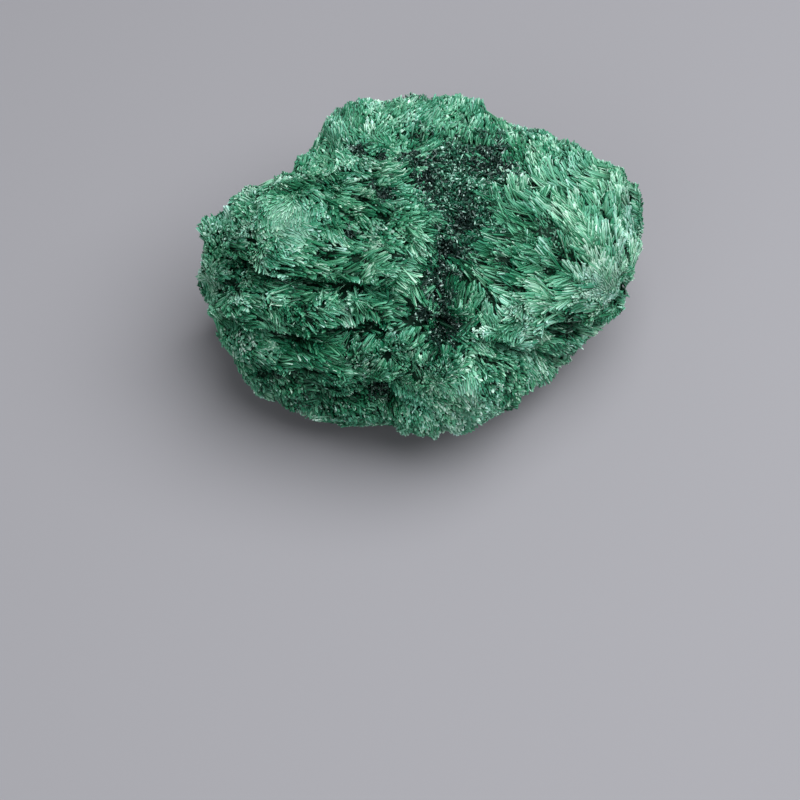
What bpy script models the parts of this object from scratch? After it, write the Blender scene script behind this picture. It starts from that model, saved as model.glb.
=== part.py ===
# Malachite specimen: one lump of fibrous malachite, all of its crystal sprays grown together.
# The form is built from a round lump that is pushed in and out along its own radii, so that
# domes, hollows, ledges and fans of fibres are all one closed surface. Lengths are in
# millimetres up to the last step, which makes metres of them. X is the width, Y runs away
# from the viewer of the photo and Z is up. The lump rests on a flat patch at Z = 0.

import math

import bmesh
import bpy
import numpy as np

MM = 0.001

# Size and general form
CENTRE_HEIGHT = 27.0   # height of the widest level above the floor
TOP_RISE = 33.0        # from the widest level to the top
LOW_DROP = 31.0        # from the widest level to the bottom before it is cut flat
FULLNESS = 2.35        # 2 is an ellipse in side view, more is fuller
FINE_LEVEL = 7         # how finely the ball is divided before it is thinned out
FACE_LIMIT = 9900      # triangles kept when the ball is thinned out, before the flat cut
OVER_ORIGIN = (-0.4, 0.3)  # sideways move that centres the finished lump over the origin

# Half widths of the lump seen from above, every 15 degrees from +X round by +Y
PLAN_RADII = [53.0, 57.0, 55.5, 47.5, 45.0, 49.5, 45.5, 44.5,
              47.5, 40.5, 40.0, 45.5, 58.5, 53.5, 56.5, 51.5,
              49.0, 46.5, 47.5, 47.5, 46.0, 43.5, 45.5, 51.0]

# How the photo looks at the lump. Features below are placed by their photo position.
VIEW_ELEVATION = 55.0      # degrees above the floor
PHOTO_MIDDLE = 400.0       # middle of the 800 pixel wide photo
FOCAL_PIXELS = 1888.9      # 85 mm lens on a 36 mm wide picture
PIXEL_MM = 0.264           # size of one pixel at the middle of the lump
LUMP_PIXEL = (419.0, 264.0)  # where the middle of the lump is seen

# Rounded domes and hollows: photo x, photo y, radius in pixels, height in mm
DOMES = [
    (296, 224, 42, 4.0),    # pale dome at the left
    (588, 256, 52, 5.5),    # broad lobe at the right
    (468, 386, 26, 4.0),    # small dome at the lower right
    (455, 311, 11, 3.0),    # little dome over the dark hollow
    (328, 112, 13, 4.0),    # knob at the left end of the top ridge
    (508, 310, 26, 2.0),    # silky patch under the right lobe
    (255, 335, 26, 2.0),    # bulge at the lower left
    (398, 118, 40, 1.5),    # top ridge
    (600, 178, 26, 1.5),    # upper right rim
]
HOLLOWS = [
    (455, 168, 36, 4.5),    # dark basin near the top
    (464, 220, 26, 6.5),    # dark basin, narrowing
    (448, 260, 19, 7.0),    # dark valley
    (440, 296, 16, 7.0),    # dark valley going on downward
    (446, 331, 14, 6.5),    # hollow under the little dome
    (380, 398, 16, 4.5),    # hollow in the lower front
    (304, 138, 15, 4.5),    # notch beside the top ridge
    (372, 301, 8, 2.5),     # small hole under a ledge
    (400, 312, 16, 2.5),    # end of the left valley
]

# Ledges: depth in mm, reach in pixels, then photo points from right to left. The ground
# drops below the line and comes back slowly.
LEDGES = [
    (5.2, 30, [(404, 287), (345, 280), (292, 276), (262, 262), (210, 250)]),
    (4.4, 28, [(414, 340), (372, 322), (340, 331), (292, 334), (240, 322), (206, 296)]),
    (3.6, 24, [(414, 376), (372, 384), (330, 380), (286, 364), (244, 350)]),
    (4.2, 26, [(604, 312), (586, 321), (560, 317), (530, 326)]),
    (3.4, 24, [(574, 350), (552, 353), (520, 346), (486, 332)]),
    (3.2, 24, [(424, 402), (376, 390), (336, 398), (290, 386)]),
    (2.6, 24, [(512, 140), (452, 124), (412, 126), (372, 131)]),
    (2.6, 22, [(352, 168), (326, 178), (298, 184), (262, 196)]),
]

# Fans of fibres: root x, root y, heading in degrees (0 is right, 90 is up), spread in
# degrees, reach in pixels, rise of the tips in mm
FANS = [
    (595, 286, 140, 170, 105, 2.5), (640, 235, 165, 100, 40, 1.5), (587, 279, 270, 140, 30, 1.0),
    (532, 312, 180, 60, 54, 1.5), (600, 318, 185, 40, 60, 1.5), (545, 335, -35, 60, 45, 2.0),
    (520, 350, -50, 70, 50, 2.0), (600, 300, -60, 90, 40, 2.0), (620, 262, -20, 120, 26, 1.5),
    (520, 160, 60, 70, 40, 1.5), (560, 175, 65, 60, 36, 1.5), (600, 190, 60, 60, 34, 1.5),
    (480, 140, 70, 70, 34, 1.5), (345, 140, 100, 70, 34, 1.5), (375, 132, 95, 60, 34, 1.5),
    (410, 128, 85, 60, 34, 1.5), (440, 125, 80, 60, 32, 1.5), (332, 130, 130, 80, 26, 1.5),
    (395, 150, 190, 80, 60, 1.5), (350, 165, 200, 70, 46, 1.5), (320, 235, -30, 60, 85, 2.0),
    (340, 205, -20, 60, 70, 1.5), (350, 182, -10, 60, 60, 1.5), (290, 185, 125, 90, 35, 1.5),
    (250, 205, 130, 90, 35, 1.5), (225, 230, 150, 100, 30, 1.5), (265, 235, 200, 60, 40, 1.5),
    (250, 240, -45, 60, 45, 2.5), (225, 250, -70, 60, 30, 2.0), (300, 255, -40, 50, 40, 2.0),
    (333, 326, 140, 70, 32, 3.0), (376, 315, 130, 80, 26, 2.5), (240, 290, -25, 40, 60, 2.0),
    (215, 280, -50, 60, 40, 2.0), (290, 300, -30, 50, 45, 2.0), (350, 262, -35, 50, 42, 1.5),
    (285, 340, -30, 35, 70, 2.0), (366, 374, 60, 120, 32, 3.0), (400, 361, 90, 90, 28, 3.0),
    (440, 378, 90, 100, 30, 3.0), (245, 345, -40, 60, 50, 2.0), (260, 370, -30, 60, 50, 2.0),
    (320, 395, -20, 70, 50, 1.5), (420, 395, -90, 120, 40, 2.0), (500, 375, -30, 80, 45, 2.0),
    (480, 345, -60, 80, 35, 2.0), (455, 322, 90, 150, 20, 1.5), (400, 212, -30, 80, 50, 2.0),
]

# Sides that the photo doesn't show
BACK_FANS = 150        # fans scattered over the whole lump, used where no photo fan is seen
BACK_RISE = 3.2        # rise of their tips in mm
BACK_LENGTH = 15.0     # length of such a fan from root to tips in mm
BACK_SEED = 11
UNDERSIDE_PUSH = 9.0   # how far the middle of the underside is pushed below the flat cut
GRAIN = [(17.0, 0.9, 3), (8.0, 0.6, 4)]   # wavelength, height and seed of the unevenness

# Directions of the photo's view
ELEVATION = math.radians(VIEW_ELEVATION)
VIEW_RIGHT = np.array([1.0, 0.0, 0.0])
VIEW_UP = np.array([0.0, math.sin(ELEVATION), math.cos(ELEVATION)])
VIEW_INTO = np.array([0.0, math.cos(ELEVATION), -math.sin(ELEVATION)])
CENTRE = np.array([0.0, 0.0, CENTRE_HEIGHT])
VIEW_POINT = (CENTRE - FOCAL_PIXELS * PIXEL_MM * VIEW_INTO
              - (LUMP_PIXEL[0] - PHOTO_MIDDLE) * PIXEL_MM * VIEW_RIGHT
              - (PHOTO_MIDDLE - LUMP_PIXEL[1]) * PIXEL_MM * VIEW_UP)


def smooth_step(value):
    """0 below 0, 1 above 1 and a soft rise between."""
    value = np.clip(value, 0.0, 1.0)
    return value * value * (3.0 - 2.0 * value)


def plan_radius(azimuth):
    """Half width of the lump at an azimuth in radians, a smooth curve through PLAN_RADII."""
    radii = np.array(PLAN_RADII)
    count = len(radii)
    place = (np.degrees(azimuth) % 360.0) / (360.0 / count)
    index = np.floor(place).astype(int) % count
    part = place - np.floor(place)
    before = radii[(index - 1) % count]
    here = radii[index]
    after = radii[(index + 1) % count]
    beyond = radii[(index + 2) % count]
    return 0.5 * (2 * here + (after - before) * part
                  + (2 * before - 5 * here + 4 * after - beyond) * part ** 2
                  + (3 * here - before - 3 * after + beyond) * part ** 3)


def lump_radius(directions):
    """Distance from the centre to the surface of the plain lump along unit directions."""
    azimuth = np.arctan2(directions[:, 1], directions[:, 0])
    level = np.hypot(directions[:, 0], directions[:, 1]) / plan_radius(azimuth)
    upright = np.abs(directions[:, 2]) / np.where(directions[:, 2] > 0, TOP_RISE, LOW_DROP)
    return (level ** FULLNESS + upright ** FULLNESS) ** (-1.0 / FULLNESS)


def lump_normals(directions):
    """Outward unit normals of the plain lump, by small steps sideways."""
    step = 0.02
    side = np.cross(directions, [0.31, 0.47, 0.83])
    side /= np.linalg.norm(side, axis=1)[:, None]
    other = np.cross(directions, side)
    edges = []
    for way in (side, other):
        ends = []
        for sign in (-step, step):
            moved = directions + sign * way
            moved /= np.linalg.norm(moved, axis=1)[:, None]
            ends.append(moved * lump_radius(moved)[:, None])
        edges.append(ends[1] - ends[0])
    normals = np.cross(edges[0], edges[1])
    normals /= np.linalg.norm(normals, axis=1)[:, None]
    return normals * np.sign((normals * directions).sum(axis=1))[:, None]


def photo_position(points):
    """Photo x and y of points in space."""
    seen = points - VIEW_POINT
    depth = seen @ VIEW_INTO
    across = PHOTO_MIDDLE + FOCAL_PIXELS * (seen @ VIEW_RIGHT) / depth
    down = PHOTO_MIDDLE - FOCAL_PIXELS * (seen @ VIEW_UP) / depth
    return np.stack([across, down], axis=1)


def unevenness(points, wavelength, seed):
    """Soft random rise and fall between about -1 and 1 with the given wavelength."""
    chance = np.random.default_rng(seed)
    total = np.zeros(len(points))
    waves = 28
    for _ in range(waves):
        way = chance.normal(size=3)
        way *= 2 * math.pi / wavelength / np.linalg.norm(way) * chance.uniform(0.7, 1.4)
        total += np.sin(points @ way + chance.uniform(0, 2 * math.pi))
    return total / math.sqrt(waves / 2.0) * 0.6


def ledge_drop(pixels, depth, reach, points):
    """How far the ground lies down below a ledge: deep at its foot, nothing further away."""
    nearest = np.full(len(pixels), 1e9)
    drop = np.zeros(len(pixels))
    corners = np.array(points, dtype=float)
    lengths = np.linalg.norm(np.diff(corners, axis=0), axis=1)
    whole = lengths.sum()
    walked = 0.0
    for start, end, length in zip(corners[:-1], corners[1:], lengths):
        way = (end - start) / length
        offset = pixels - start
        along = np.clip(offset @ way, 0.0, length)
        gap = pixels - (start + along[:, None] * way)
        distance = np.linalg.norm(gap, axis=1)
        # The photo's y runs down, so this is positive below a way that runs to the left
        side = offset[:, 0] * way[1] - offset[:, 1] * way[0]
        share = (walked + along) / whole
        fade = smooth_step(share / 0.2) * smooth_step((1.0 - share) / 0.2)
        below = smooth_step(side / 4.0) * smooth_step(1.0 - distance / reach)
        closer = distance < nearest
        drop = np.where(closer, depth * fade * below, drop)
        nearest = np.where(closer, distance, nearest)
        walked += length
    return drop


def fan_rise(pixels, fan):
    """Rise of one fan: a ramp from its root to its tips with a steep end, in rays."""
    root_x, root_y, heading, spread, reach, rise = fan
    across = pixels[:, 0] - root_x
    up = root_y - pixels[:, 1]
    distance = np.hypot(across, up)
    angle = np.degrees(np.arctan2(up, across)) - heading
    angle = (angle + 180.0) % 360.0 - 180.0
    edge = smooth_step((spread / 2.0 + 8.0 - np.abs(angle)) / 16.0)
    rays = 1.0 + 0.22 * np.cos(np.radians(angle) * 360.0 / 26.0)
    ragged = reach * (1.0 + 0.10 * np.sin(np.radians(angle) * 9.0 + root_x))
    ramp = (distance / reach) * smooth_step((ragged - distance) / 6.0 + 0.5)
    return rise * edge * rays * ramp


def photo_relief(pixels):
    """Height of the relief seen in the photo, at photo positions."""
    height = np.zeros(len(pixels))
    for x, y, radius, rise in DOMES:
        far = ((pixels[:, 0] - x) ** 2 + (pixels[:, 1] - y) ** 2) / radius ** 2
        height += rise * np.exp(-far)
    for x, y, radius, depth in HOLLOWS:
        far = ((pixels[:, 0] - x) ** 2 + (pixels[:, 1] - y) ** 2) / radius ** 2
        height -= depth * np.exp(-far)
    for depth, reach, points in LEDGES:
        height -= ledge_drop(pixels, depth, reach, points)
    rises = [fan_rise(pixels, fan) for fan in FANS]
    return height + np.max(rises, axis=0)


def back_relief(directions, radii):
    """Relief of the sides that aren't seen: plates that rise from their roots to their tips."""
    chance = np.random.default_rng(BACK_SEED)
    roots = chance.normal(size=(BACK_FANS, 3))
    roots /= np.linalg.norm(roots, axis=1)[:, None]
    headings = np.cross(roots, chance.normal(size=(BACK_FANS, 3)))
    headings /= np.linalg.norm(headings, axis=1)[:, None]
    sizes = chance.uniform(0.75, 1.25, BACK_FANS)
    apart = np.arccos(np.clip(directions @ roots.T, -1.0, 1.0)) / sizes
    owner = np.argmin(apart, axis=1)
    nearest = np.sort(apart, axis=1)
    border = (nearest[:, 1] - nearest[:, 0]) * radii
    offset = (directions - roots[owner]) * radii[:, None]
    along = (offset * headings[owner]).sum(axis=1)
    ramp = np.clip(0.5 + along / BACK_LENGTH, 0.0, 1.15)
    return BACK_RISE * (ramp * (0.6 + 0.4 * smooth_step(border / 3.0)) - 0.5)


def surface_points(directions):
    """Points of the finished surface along unit directions from the centre."""
    radii = lump_radius(directions)
    plain = CENTRE + directions * radii[:, None]
    normals = lump_normals(directions)
    seen = VIEW_POINT - plain
    seen /= np.linalg.norm(seen, axis=1)[:, None]
    facing = (normals * seen).sum(axis=1)
    height = smooth_step((facing + 0.12) / 0.3) * photo_relief(photo_position(plain))
    height += smooth_step((0.42 - facing) / 0.4) * back_relief(directions, radii)
    for wavelength, amount, seed in GRAIN:
        height += amount * unevenness(plain, wavelength, seed)
    height += UNDERSIDE_PUSH * smooth_step((-directions[:, 2] - 0.70) / 0.16)
    return plain + directions * height[:, None]


def remove_scene_objects():
    """Empty the scene that the script starts in."""
    for item in list(bpy.data.objects):
        bpy.data.objects.remove(item, do_unlink=True)


def fine_lump():
    """The whole lump as a finely divided ball pushed into form."""
    mesh = bpy.data.meshes.new("fine lump")
    ball = bmesh.new()
    bmesh.ops.create_icosphere(ball, subdivisions=FINE_LEVEL, radius=1.0)
    ball.to_mesh(mesh)
    ball.free()
    directions = np.empty(len(mesh.vertices) * 3)
    mesh.vertices.foreach_get("co", directions)
    directions = directions.reshape(-1, 3)
    directions /= np.linalg.norm(directions, axis=1)[:, None]
    points = surface_points(directions)
    points[:, :2] += OVER_ORIGIN
    points *= MM
    mesh.vertices.foreach_set("co", points.ravel())
    mesh.update()
    return mesh


def thinned(mesh):
    """A copy of a mesh with about FACE_LIMIT triangles, kept where the form bends most."""
    carrier = bpy.data.objects.new("fine lump", mesh)
    bpy.context.scene.collection.objects.link(carrier)
    thin = carrier.modifiers.new("thin", "DECIMATE")
    thin.ratio = FACE_LIMIT / len(mesh.polygons)
    thin.use_collapse_triangulate = True
    graph = bpy.context.evaluated_depsgraph_get()
    result = bpy.data.meshes.new_from_object(carrier.evaluated_get(graph))
    bpy.data.objects.remove(carrier, do_unlink=True)
    return result


def keep_largest(work):
    """Delete the faces that don't hang together with the lump, such as a pit inside the patch."""
    left = set(work.faces)
    groups = []
    while left:
        start = left.pop()
        group = [start]
        for face in group:
            for edge in face.edges:
                for other in edge.link_faces:
                    if other in left:
                        left.remove(other)
                        group.append(other)
        groups.append(group)
    groups.sort(key=len)
    stray = [face for group in groups[:-1] for face in group]
    bmesh.ops.delete(work, geom=stray, context="FACES")


def cut_flat(mesh):
    """Cut the lump off at the floor, which leaves the flat patch that it rests on."""
    work = bmesh.new()
    work.from_mesh(mesh)
    everything = list(work.verts) + list(work.edges) + list(work.faces)
    bmesh.ops.bisect_plane(work, geom=everything, plane_co=(0.0, 0.0, 0.0),
                           plane_no=(0.0, 0.0, 1.0), dist=1e-6, clear_inner=True)
    keep_largest(work)
    rim = [edge for edge in work.edges if edge.is_boundary]
    bmesh.ops.holes_fill(work, edges=rim, sides=0)
    bmesh.ops.triangulate(work, faces=work.faces[:])
    bmesh.ops.recalc_face_normals(work, faces=work.faces[:])
    work.to_mesh(mesh)
    work.free()
    mesh.update()


def malachite_material():
    """Silky, fairly dark green stone."""
    material = bpy.data.materials.new("malachite_green")
    material.use_nodes = True
    surface = material.node_tree.nodes["Principled BSDF"]
    surface.inputs["Base Color"].default_value = (0.06, 0.24, 0.14, 1.0)
    surface.inputs["Roughness"].default_value = 0.45
    surface.inputs["Metallic"].default_value = 0.0
    material.diffuse_color = (0.06, 0.24, 0.14, 1.0)
    return material


def build():
    """Make the one object of this part."""
    remove_scene_objects()
    mesh = thinned(fine_lump())
    cut_flat(mesh)
    mesh.name = "malachite"
    mesh.materials.clear()
    mesh.materials.append(malachite_material())
    lump = bpy.data.objects.new("malachite", mesh)
    bpy.context.scene.collection.objects.link(lump)


build()
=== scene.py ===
import math

import bmesh
import bpy
import numpy as np
from mathutils import Matrix, Vector
from mathutils.kdtree import KDTree


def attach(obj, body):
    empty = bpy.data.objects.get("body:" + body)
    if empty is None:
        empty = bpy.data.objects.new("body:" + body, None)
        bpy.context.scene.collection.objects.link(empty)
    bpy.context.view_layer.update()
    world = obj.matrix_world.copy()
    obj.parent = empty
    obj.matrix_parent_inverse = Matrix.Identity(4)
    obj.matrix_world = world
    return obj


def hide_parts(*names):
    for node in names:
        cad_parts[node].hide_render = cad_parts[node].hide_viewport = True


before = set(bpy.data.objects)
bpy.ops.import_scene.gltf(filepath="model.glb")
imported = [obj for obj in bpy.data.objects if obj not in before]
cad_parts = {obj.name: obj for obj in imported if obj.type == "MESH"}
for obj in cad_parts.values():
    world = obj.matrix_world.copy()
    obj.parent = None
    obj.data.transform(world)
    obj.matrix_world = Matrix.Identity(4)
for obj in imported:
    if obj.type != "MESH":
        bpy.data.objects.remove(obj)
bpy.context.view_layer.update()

MM = 0.001

# Size and general form
CENTRE_HEIGHT = 27.0   # height of the widest level above the floor
TOP_RISE = 33.0        # from the widest level to the top
LOW_DROP = 31.0        # from the widest level to the bottom before it is cut flat
FULLNESS = 2.35        # 2 is an ellipse in side view, more is fuller
OVER_ORIGIN = (-0.4, 0.3)  # sideways move that centres the finished lump over the origin

# Half widths of the lump seen from above, every 15 degrees from +X round by +Y
PLAN_RADII = [53.0, 57.0, 55.5, 47.5, 45.0, 49.5, 45.5, 44.5,
              47.5, 40.5, 40.0, 45.5, 58.5, 53.5, 56.5, 51.5,
              49.0, 46.5, 47.5, 47.5, 46.0, 43.5, 45.5, 51.0]

# How the photo looks at the lump. Features below are placed by their photo position.
VIEW_ELEVATION = 55.0      # degrees above the floor
PHOTO_MIDDLE = 400.0       # middle of the 800 pixel wide photo
FOCAL_PIXELS = 1888.9      # 85 mm lens on a 36 mm wide picture
PIXEL_MM = 0.264           # size of one pixel at the middle of the lump
LUMP_PIXEL = (419.0, 264.0)  # where the middle of the lump is seen

# Rounded domes and hollows: photo x, photo y, radius in pixels, height in mm
DOMES = [
    (296, 224, 42, 4.0),    # pale dome at the left
    (588, 256, 52, 5.5),    # broad lobe at the right
    (468, 386, 26, 4.0),    # small dome at the lower right
    (455, 311, 11, 3.0),    # little dome over the dark hollow
    (328, 112, 13, 4.0),    # knob at the left end of the top ridge
    (508, 310, 26, 2.0),    # silky patch under the right lobe
    (255, 335, 26, 2.0),    # bulge at the lower left
    (398, 118, 40, 1.5),    # top ridge
    (600, 178, 26, 1.5),    # upper right rim
]
HOLLOWS = [
    (455, 168, 36, 4.5),    # dark basin near the top
    (464, 220, 26, 6.5),    # dark basin, narrowing
    (448, 260, 19, 7.0),    # dark valley
    (440, 296, 16, 7.0),    # dark valley going on downward
    (446, 331, 14, 6.5),    # hollow under the little dome
    (380, 398, 16, 4.5),    # hollow in the lower front
    (304, 138, 15, 4.5),    # notch beside the top ridge
    (372, 301, 8, 2.5),     # small hole under a ledge
    (400, 312, 16, 2.5),    # end of the left valley
]

# Ledges: depth in mm, reach in pixels, then photo points from right to left. The ground
# drops below the line and comes back slowly.
LEDGES = [
    (5.2, 30, [(404, 287), (345, 280), (292, 276), (262, 262), (210, 250)]),
    (4.4, 28, [(414, 340), (372, 322), (340, 331), (292, 334), (240, 322), (206, 296)]),
    (3.6, 24, [(414, 376), (372, 384), (330, 380), (286, 364), (244, 350)]),
    (4.2, 26, [(604, 312), (586, 321), (560, 317), (530, 326)]),
    (3.4, 24, [(574, 350), (552, 353), (520, 346), (486, 332)]),
    (3.2, 24, [(424, 402), (376, 390), (336, 398), (290, 386)]),
    (2.6, 24, [(512, 140), (452, 124), (412, 126), (372, 131)]),
    (2.6, 22, [(352, 168), (326, 178), (298, 184), (262, 196)]),
]

# Fans of fibres: root x, root y, heading in degrees (0 is right, 90 is up), spread in
# degrees, reach in pixels, rise of the tips in mm
FANS = [
    (595, 286, 140, 170, 105, 2.5), (640, 235, 165, 100, 40, 1.5), (587, 279, 270, 140, 30, 1.0),
    (532, 312, 180, 60, 54, 1.5), (600, 318, 185, 40, 60, 1.5), (545, 335, -35, 60, 45, 2.0),
    (520, 350, -50, 70, 50, 2.0), (600, 300, -60, 90, 40, 2.0), (620, 262, -20, 120, 26, 1.5),
    (520, 160, 60, 70, 40, 1.5), (560, 175, 65, 60, 36, 1.5), (600, 190, 60, 60, 34, 1.5),
    (480, 140, 70, 70, 34, 1.5), (345, 140, 100, 70, 34, 1.5), (375, 132, 95, 60, 34, 1.5),
    (410, 128, 85, 60, 34, 1.5), (440, 125, 80, 60, 32, 1.5), (332, 130, 130, 80, 26, 1.5),
    (395, 150, 190, 80, 60, 1.5), (350, 165, 200, 70, 46, 1.5), (320, 235, -30, 60, 85, 2.0),
    (340, 205, -20, 60, 70, 1.5), (350, 182, -10, 60, 60, 1.5), (290, 185, 125, 90, 35, 1.5),
    (250, 205, 130, 90, 35, 1.5), (225, 230, 150, 100, 30, 1.5), (265, 235, 200, 60, 40, 1.5),
    (250, 240, -45, 60, 45, 2.5), (225, 250, -70, 60, 30, 2.0), (300, 255, -40, 50, 40, 2.0),
    (333, 326, 140, 70, 32, 3.0), (376, 315, 130, 80, 26, 2.5), (240, 290, -25, 40, 60, 2.0),
    (215, 280, -50, 60, 40, 2.0), (290, 300, -30, 50, 45, 2.0), (350, 262, -35, 50, 42, 1.5),
    (285, 340, -30, 35, 70, 2.0), (366, 374, 60, 120, 32, 3.0), (400, 361, 90, 90, 28, 3.0),
    (440, 378, 90, 100, 30, 3.0), (245, 345, -40, 60, 50, 2.0), (260, 370, -30, 60, 50, 2.0),
    (320, 395, -20, 70, 50, 1.5), (420, 395, -90, 120, 40, 2.0), (500, 375, -30, 80, 45, 2.0),
    (480, 345, -60, 80, 35, 2.0), (455, 322, 90, 150, 20, 1.5), (400, 212, -30, 80, 50, 2.0),
]

# Sides that the photo doesn't show
BACK_FANS = 150        # fans scattered over the whole lump, used where no photo fan is seen
BACK_RISE = 3.2        # rise of their tips in mm
BACK_LENGTH = 15.0     # length of such a fan from root to tips in mm
BACK_SEED = 11
UNDERSIDE_PUSH = 9.0   # how far the middle of the underside is pushed below the flat cut
GRAIN = [(17.0, 0.9, 3), (8.0, 0.6, 4)]   # wavelength, height and seed of the unevenness

# Directions of the photo's view
ELEVATION = math.radians(VIEW_ELEVATION)
VIEW_RIGHT = np.array([1.0, 0.0, 0.0])
VIEW_UP = np.array([0.0, math.sin(ELEVATION), math.cos(ELEVATION)])
VIEW_INTO = np.array([0.0, math.cos(ELEVATION), -math.sin(ELEVATION)])
CENTRE = np.array([0.0, 0.0, CENTRE_HEIGHT])
VIEW_POINT = (CENTRE - FOCAL_PIXELS * PIXEL_MM * VIEW_INTO
              - (LUMP_PIXEL[0] - PHOTO_MIDDLE) * PIXEL_MM * VIEW_RIGHT
              - (PHOTO_MIDDLE - LUMP_PIXEL[1]) * PIXEL_MM * VIEW_UP)

# Looks of the lump
SEED = 5
CORE_LEVEL = 7            # how finely the core is divided
CORE_SINK = (1.3, 0.35)   # how far it lies under the fibre tips and how unevenly, in mm
CALM_SINK = (0.30, 0.12)  # the same where the ground is smooth
CORE_TONE = 0.08          # tone of the core where it isn't smooth, its dark partly painted shade in the gaps
TRIES = 140000            # places tried for fibres before those too near are left out
BUNDLE_RIBS = 5           # ridges across a bundle
NEEDLE_RIBS = 3           # ridges across a needle
PIECE_LIMIT = 190000      # triangles in one piece at most
LEAST_HEIGHT = 0.6        # no place is tried nearer to the floor, in mm
CLEARANCE = 0.1           # fibres that would come nearer to the floor are left out, in mm
BASIN_LEVEL = 0.47        # strength from which the ground is lined with crystals
FINE_LEVEL = 0.5          # strength from which fibres are short ends
SLIT_PIXELS = 2.8         # no bundle ends nearer to a slit, in photo pixels
SLIT_REACH = 3            # half width of a slit that no fibre crosses, in photo pixels
EDGE_APART = 1.2          # between the places above a ledge, in photo pixels
LUMP_REACH = 90.0         # further from the centre than any place of the lump, in mm
HALVINGS = 30             # steps to find a place on the lump
NEAR_SHEAVES = 8          # sheaves compared to find the one that a place belongs to
LONGEST = 20.0            # no fibre is longer, in mm
BRIDGE_GAP = 0.7          # fibres that lie further off the ground at their middle are short, in mm
TONE_RANGE = (0.004, 0.996)  # part of the palette that is used
ROOT_ALONG = 0.04         # where roots, feet and tips lie along a row of the palette: painted shade at roots and feet, a painted highlight at tips
FOOT_ALONG = 0.10
TIP_ALONG = 0.95
DEEP_SHADE = 0.3          # dark needle ends fill gaps where there is more shade than this
DEEP_DARK = 0.5           # or where the fibres are darker than this
GRAINS_ALONG = (0.60, 0.5)  # between short ends, and how much more on smooth ground, in mm
GRAINS_ACROSS = (0.40, 0.06)
GRAIN_SLIT_PIXELS = 2.0   # no short end lies nearer to a slit, in photo pixels
CRYSTALS_APART = 0.34     # in mm
PAINTED_GLINT_WIDTH = 0.22        # width of the few needles with a painted glint, in mm
CELL_SEED = 77            # seed for the tones of the fans that aren't seen
TINY = 1e-12              # keeps a direction of no length from failing
LEAST_WEIGHT = 1e-9       # keeps a mean of no weight from failing
LEAST_RUN = 1e-6          # keeps a photo direction of no length from failing
FAR = 1e9                 # further than anything
SIDEWAYS = [0.31, 0.47, 0.83]  # any direction, to find one square to another

# One value where the photo sees the lump and one for the sides that it doesn't show. Lengths
# are in mm.
TRIES_SHARE = (1.6, 0.9)  # how densely places are tried
SHEAF_LENGTH = (6.0, 8.0)
SHEAF_WIDTH = (2.4, 3.6)
BUNDLE_WIDTHS = ((0.42, 0.98), (0.55, 1.15))  # least and most
UPPER_APART = (4.0, 4.4)  # between the bundles that lie on others
NEEDLES_EACH = (3, 2)     # needles for each bundle
DEPTHS_ALONG = (0.9, 1.8)  # between the dark needle ends in the gaps
DEPTHS_ACROSS = (0.7, 1.4)

# Bundles grow longer and further apart in the photo's larger fans, in mm
BUNDLE_LENGTHS = (3.6, 7.5)  # least and most
BUNDLES_APART = (2.3, 4.0)
HIDDEN_BUNDLE_LENGTH = 5.4
HIDDEN_BUNDLES_APART = 3.2

# Unevenness used for the looks: wavelength in mm and seed
RIPPLES = {"core": (3.0, 21), "calm core": (2.0, 22), "photo border": (9.0, 31),
           "turn": (9.0, 32), "small turn": (4.0, 35), "patch": (6.5, 34), "hue": (12.0, 36),
           "edge": (4.0, 37), "crystals": (2.6, 41), "grains": (1.7, 44),
           "calm border": (3.0, 45), "hidden grains": (11.0, 46), "hidden basin": (9.0, 47)}

# What a wedge has unless told otherwise: ridge and camber are the heights of its ridges and of
# its middle, roll is in radians, and lines is how much its lines differ in tone
PLAIN_FORM = {"ridge": 0.08, "camber": 0.0, "roll": 0.5, "lines": 0.05}

# Tone of fibres: the usual one, and how much each fact about the ground adds to it
MIDDLE_TONE = 0.53
# The shade and run shares are painted shade under ledges and at the root ends of sheaves, rise is
# painted light on raised sheaves, and dark is partly painted shade
TONE_SHARES = {"pale": 0.19, "dark": -0.32, "shade": -0.26, "patch": 0.05, "cell": 1.0,
               "crust": 0.2, "grade": 0.07, "run": 0.05, "rise": 0.05}
SLIT_SHADE_SHARE = -0.20      # painted shade that it adds near a slit
SLIT_FADE = 4.5         # how far that reaches, in photo pixels
PALEST = 0.84           # these alone make no fibre paler
UNEVEN_TONE = (0.078, 0.025)  # chance in the tone, and how much less on pale ground

# Colours by tone, 0 to 1: silky green fibres, glassy bluish black crystals, and the ground
NEEDLE_TONES = [(0.0, (0.002, 0.006, 0.005)), (0.2, (0.003, 0.028, 0.014)),
                (0.42, (0.010, 0.128, 0.061)), (0.62, (0.080, 0.273, 0.172)),
                (0.80, (0.252, 0.436, 0.345)), (1.0, (0.480, 0.690, 0.605))]
CRYSTAL_TONES = [(0.0, (0.003, 0.008, 0.008)), (0.2, (0.007, 0.023, 0.018)),
                 (0.42, (0.016, 0.108, 0.063)), (0.62, (0.078, 0.250, 0.170)),
                 (0.80, (0.250, 0.430, 0.360)), (1.0, (0.480, 0.680, 0.620))]
GROUND_TONES = [(0.0, (0.002, 0.008, 0.005)), (0.12, (0.004, 0.022, 0.012)),
                (0.4, (0.038, 0.125, 0.080)), (0.65, (0.132, 0.286, 0.211)),
                (0.9, (0.245, 0.465, 0.370))]
# What the tone is multiplied by: the four hues, and the way from the root to the tip, which paints
# shade at roots and feet and a highlight at the tips
HUE_COUNT = 4.0
HUES = [(0.0, (0.93, 1.0, 1.07)), (0.33, (1.0, 1.0, 1.0)), (0.66, (1.0, 1.0, 0.94)),
        (1.0, (1.45, 1.10, 1.25))]
ROOT_SHADE_TO_TIP_HIGHLIGHT = [(0.0, (0.05, 0.17, 0.10)), (0.35, (0.48, 0.68, 0.58)), (0.7, (1.0, 1.0, 1.0)),
               (1.0, (1.27, 1.16, 1.20))]

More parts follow.
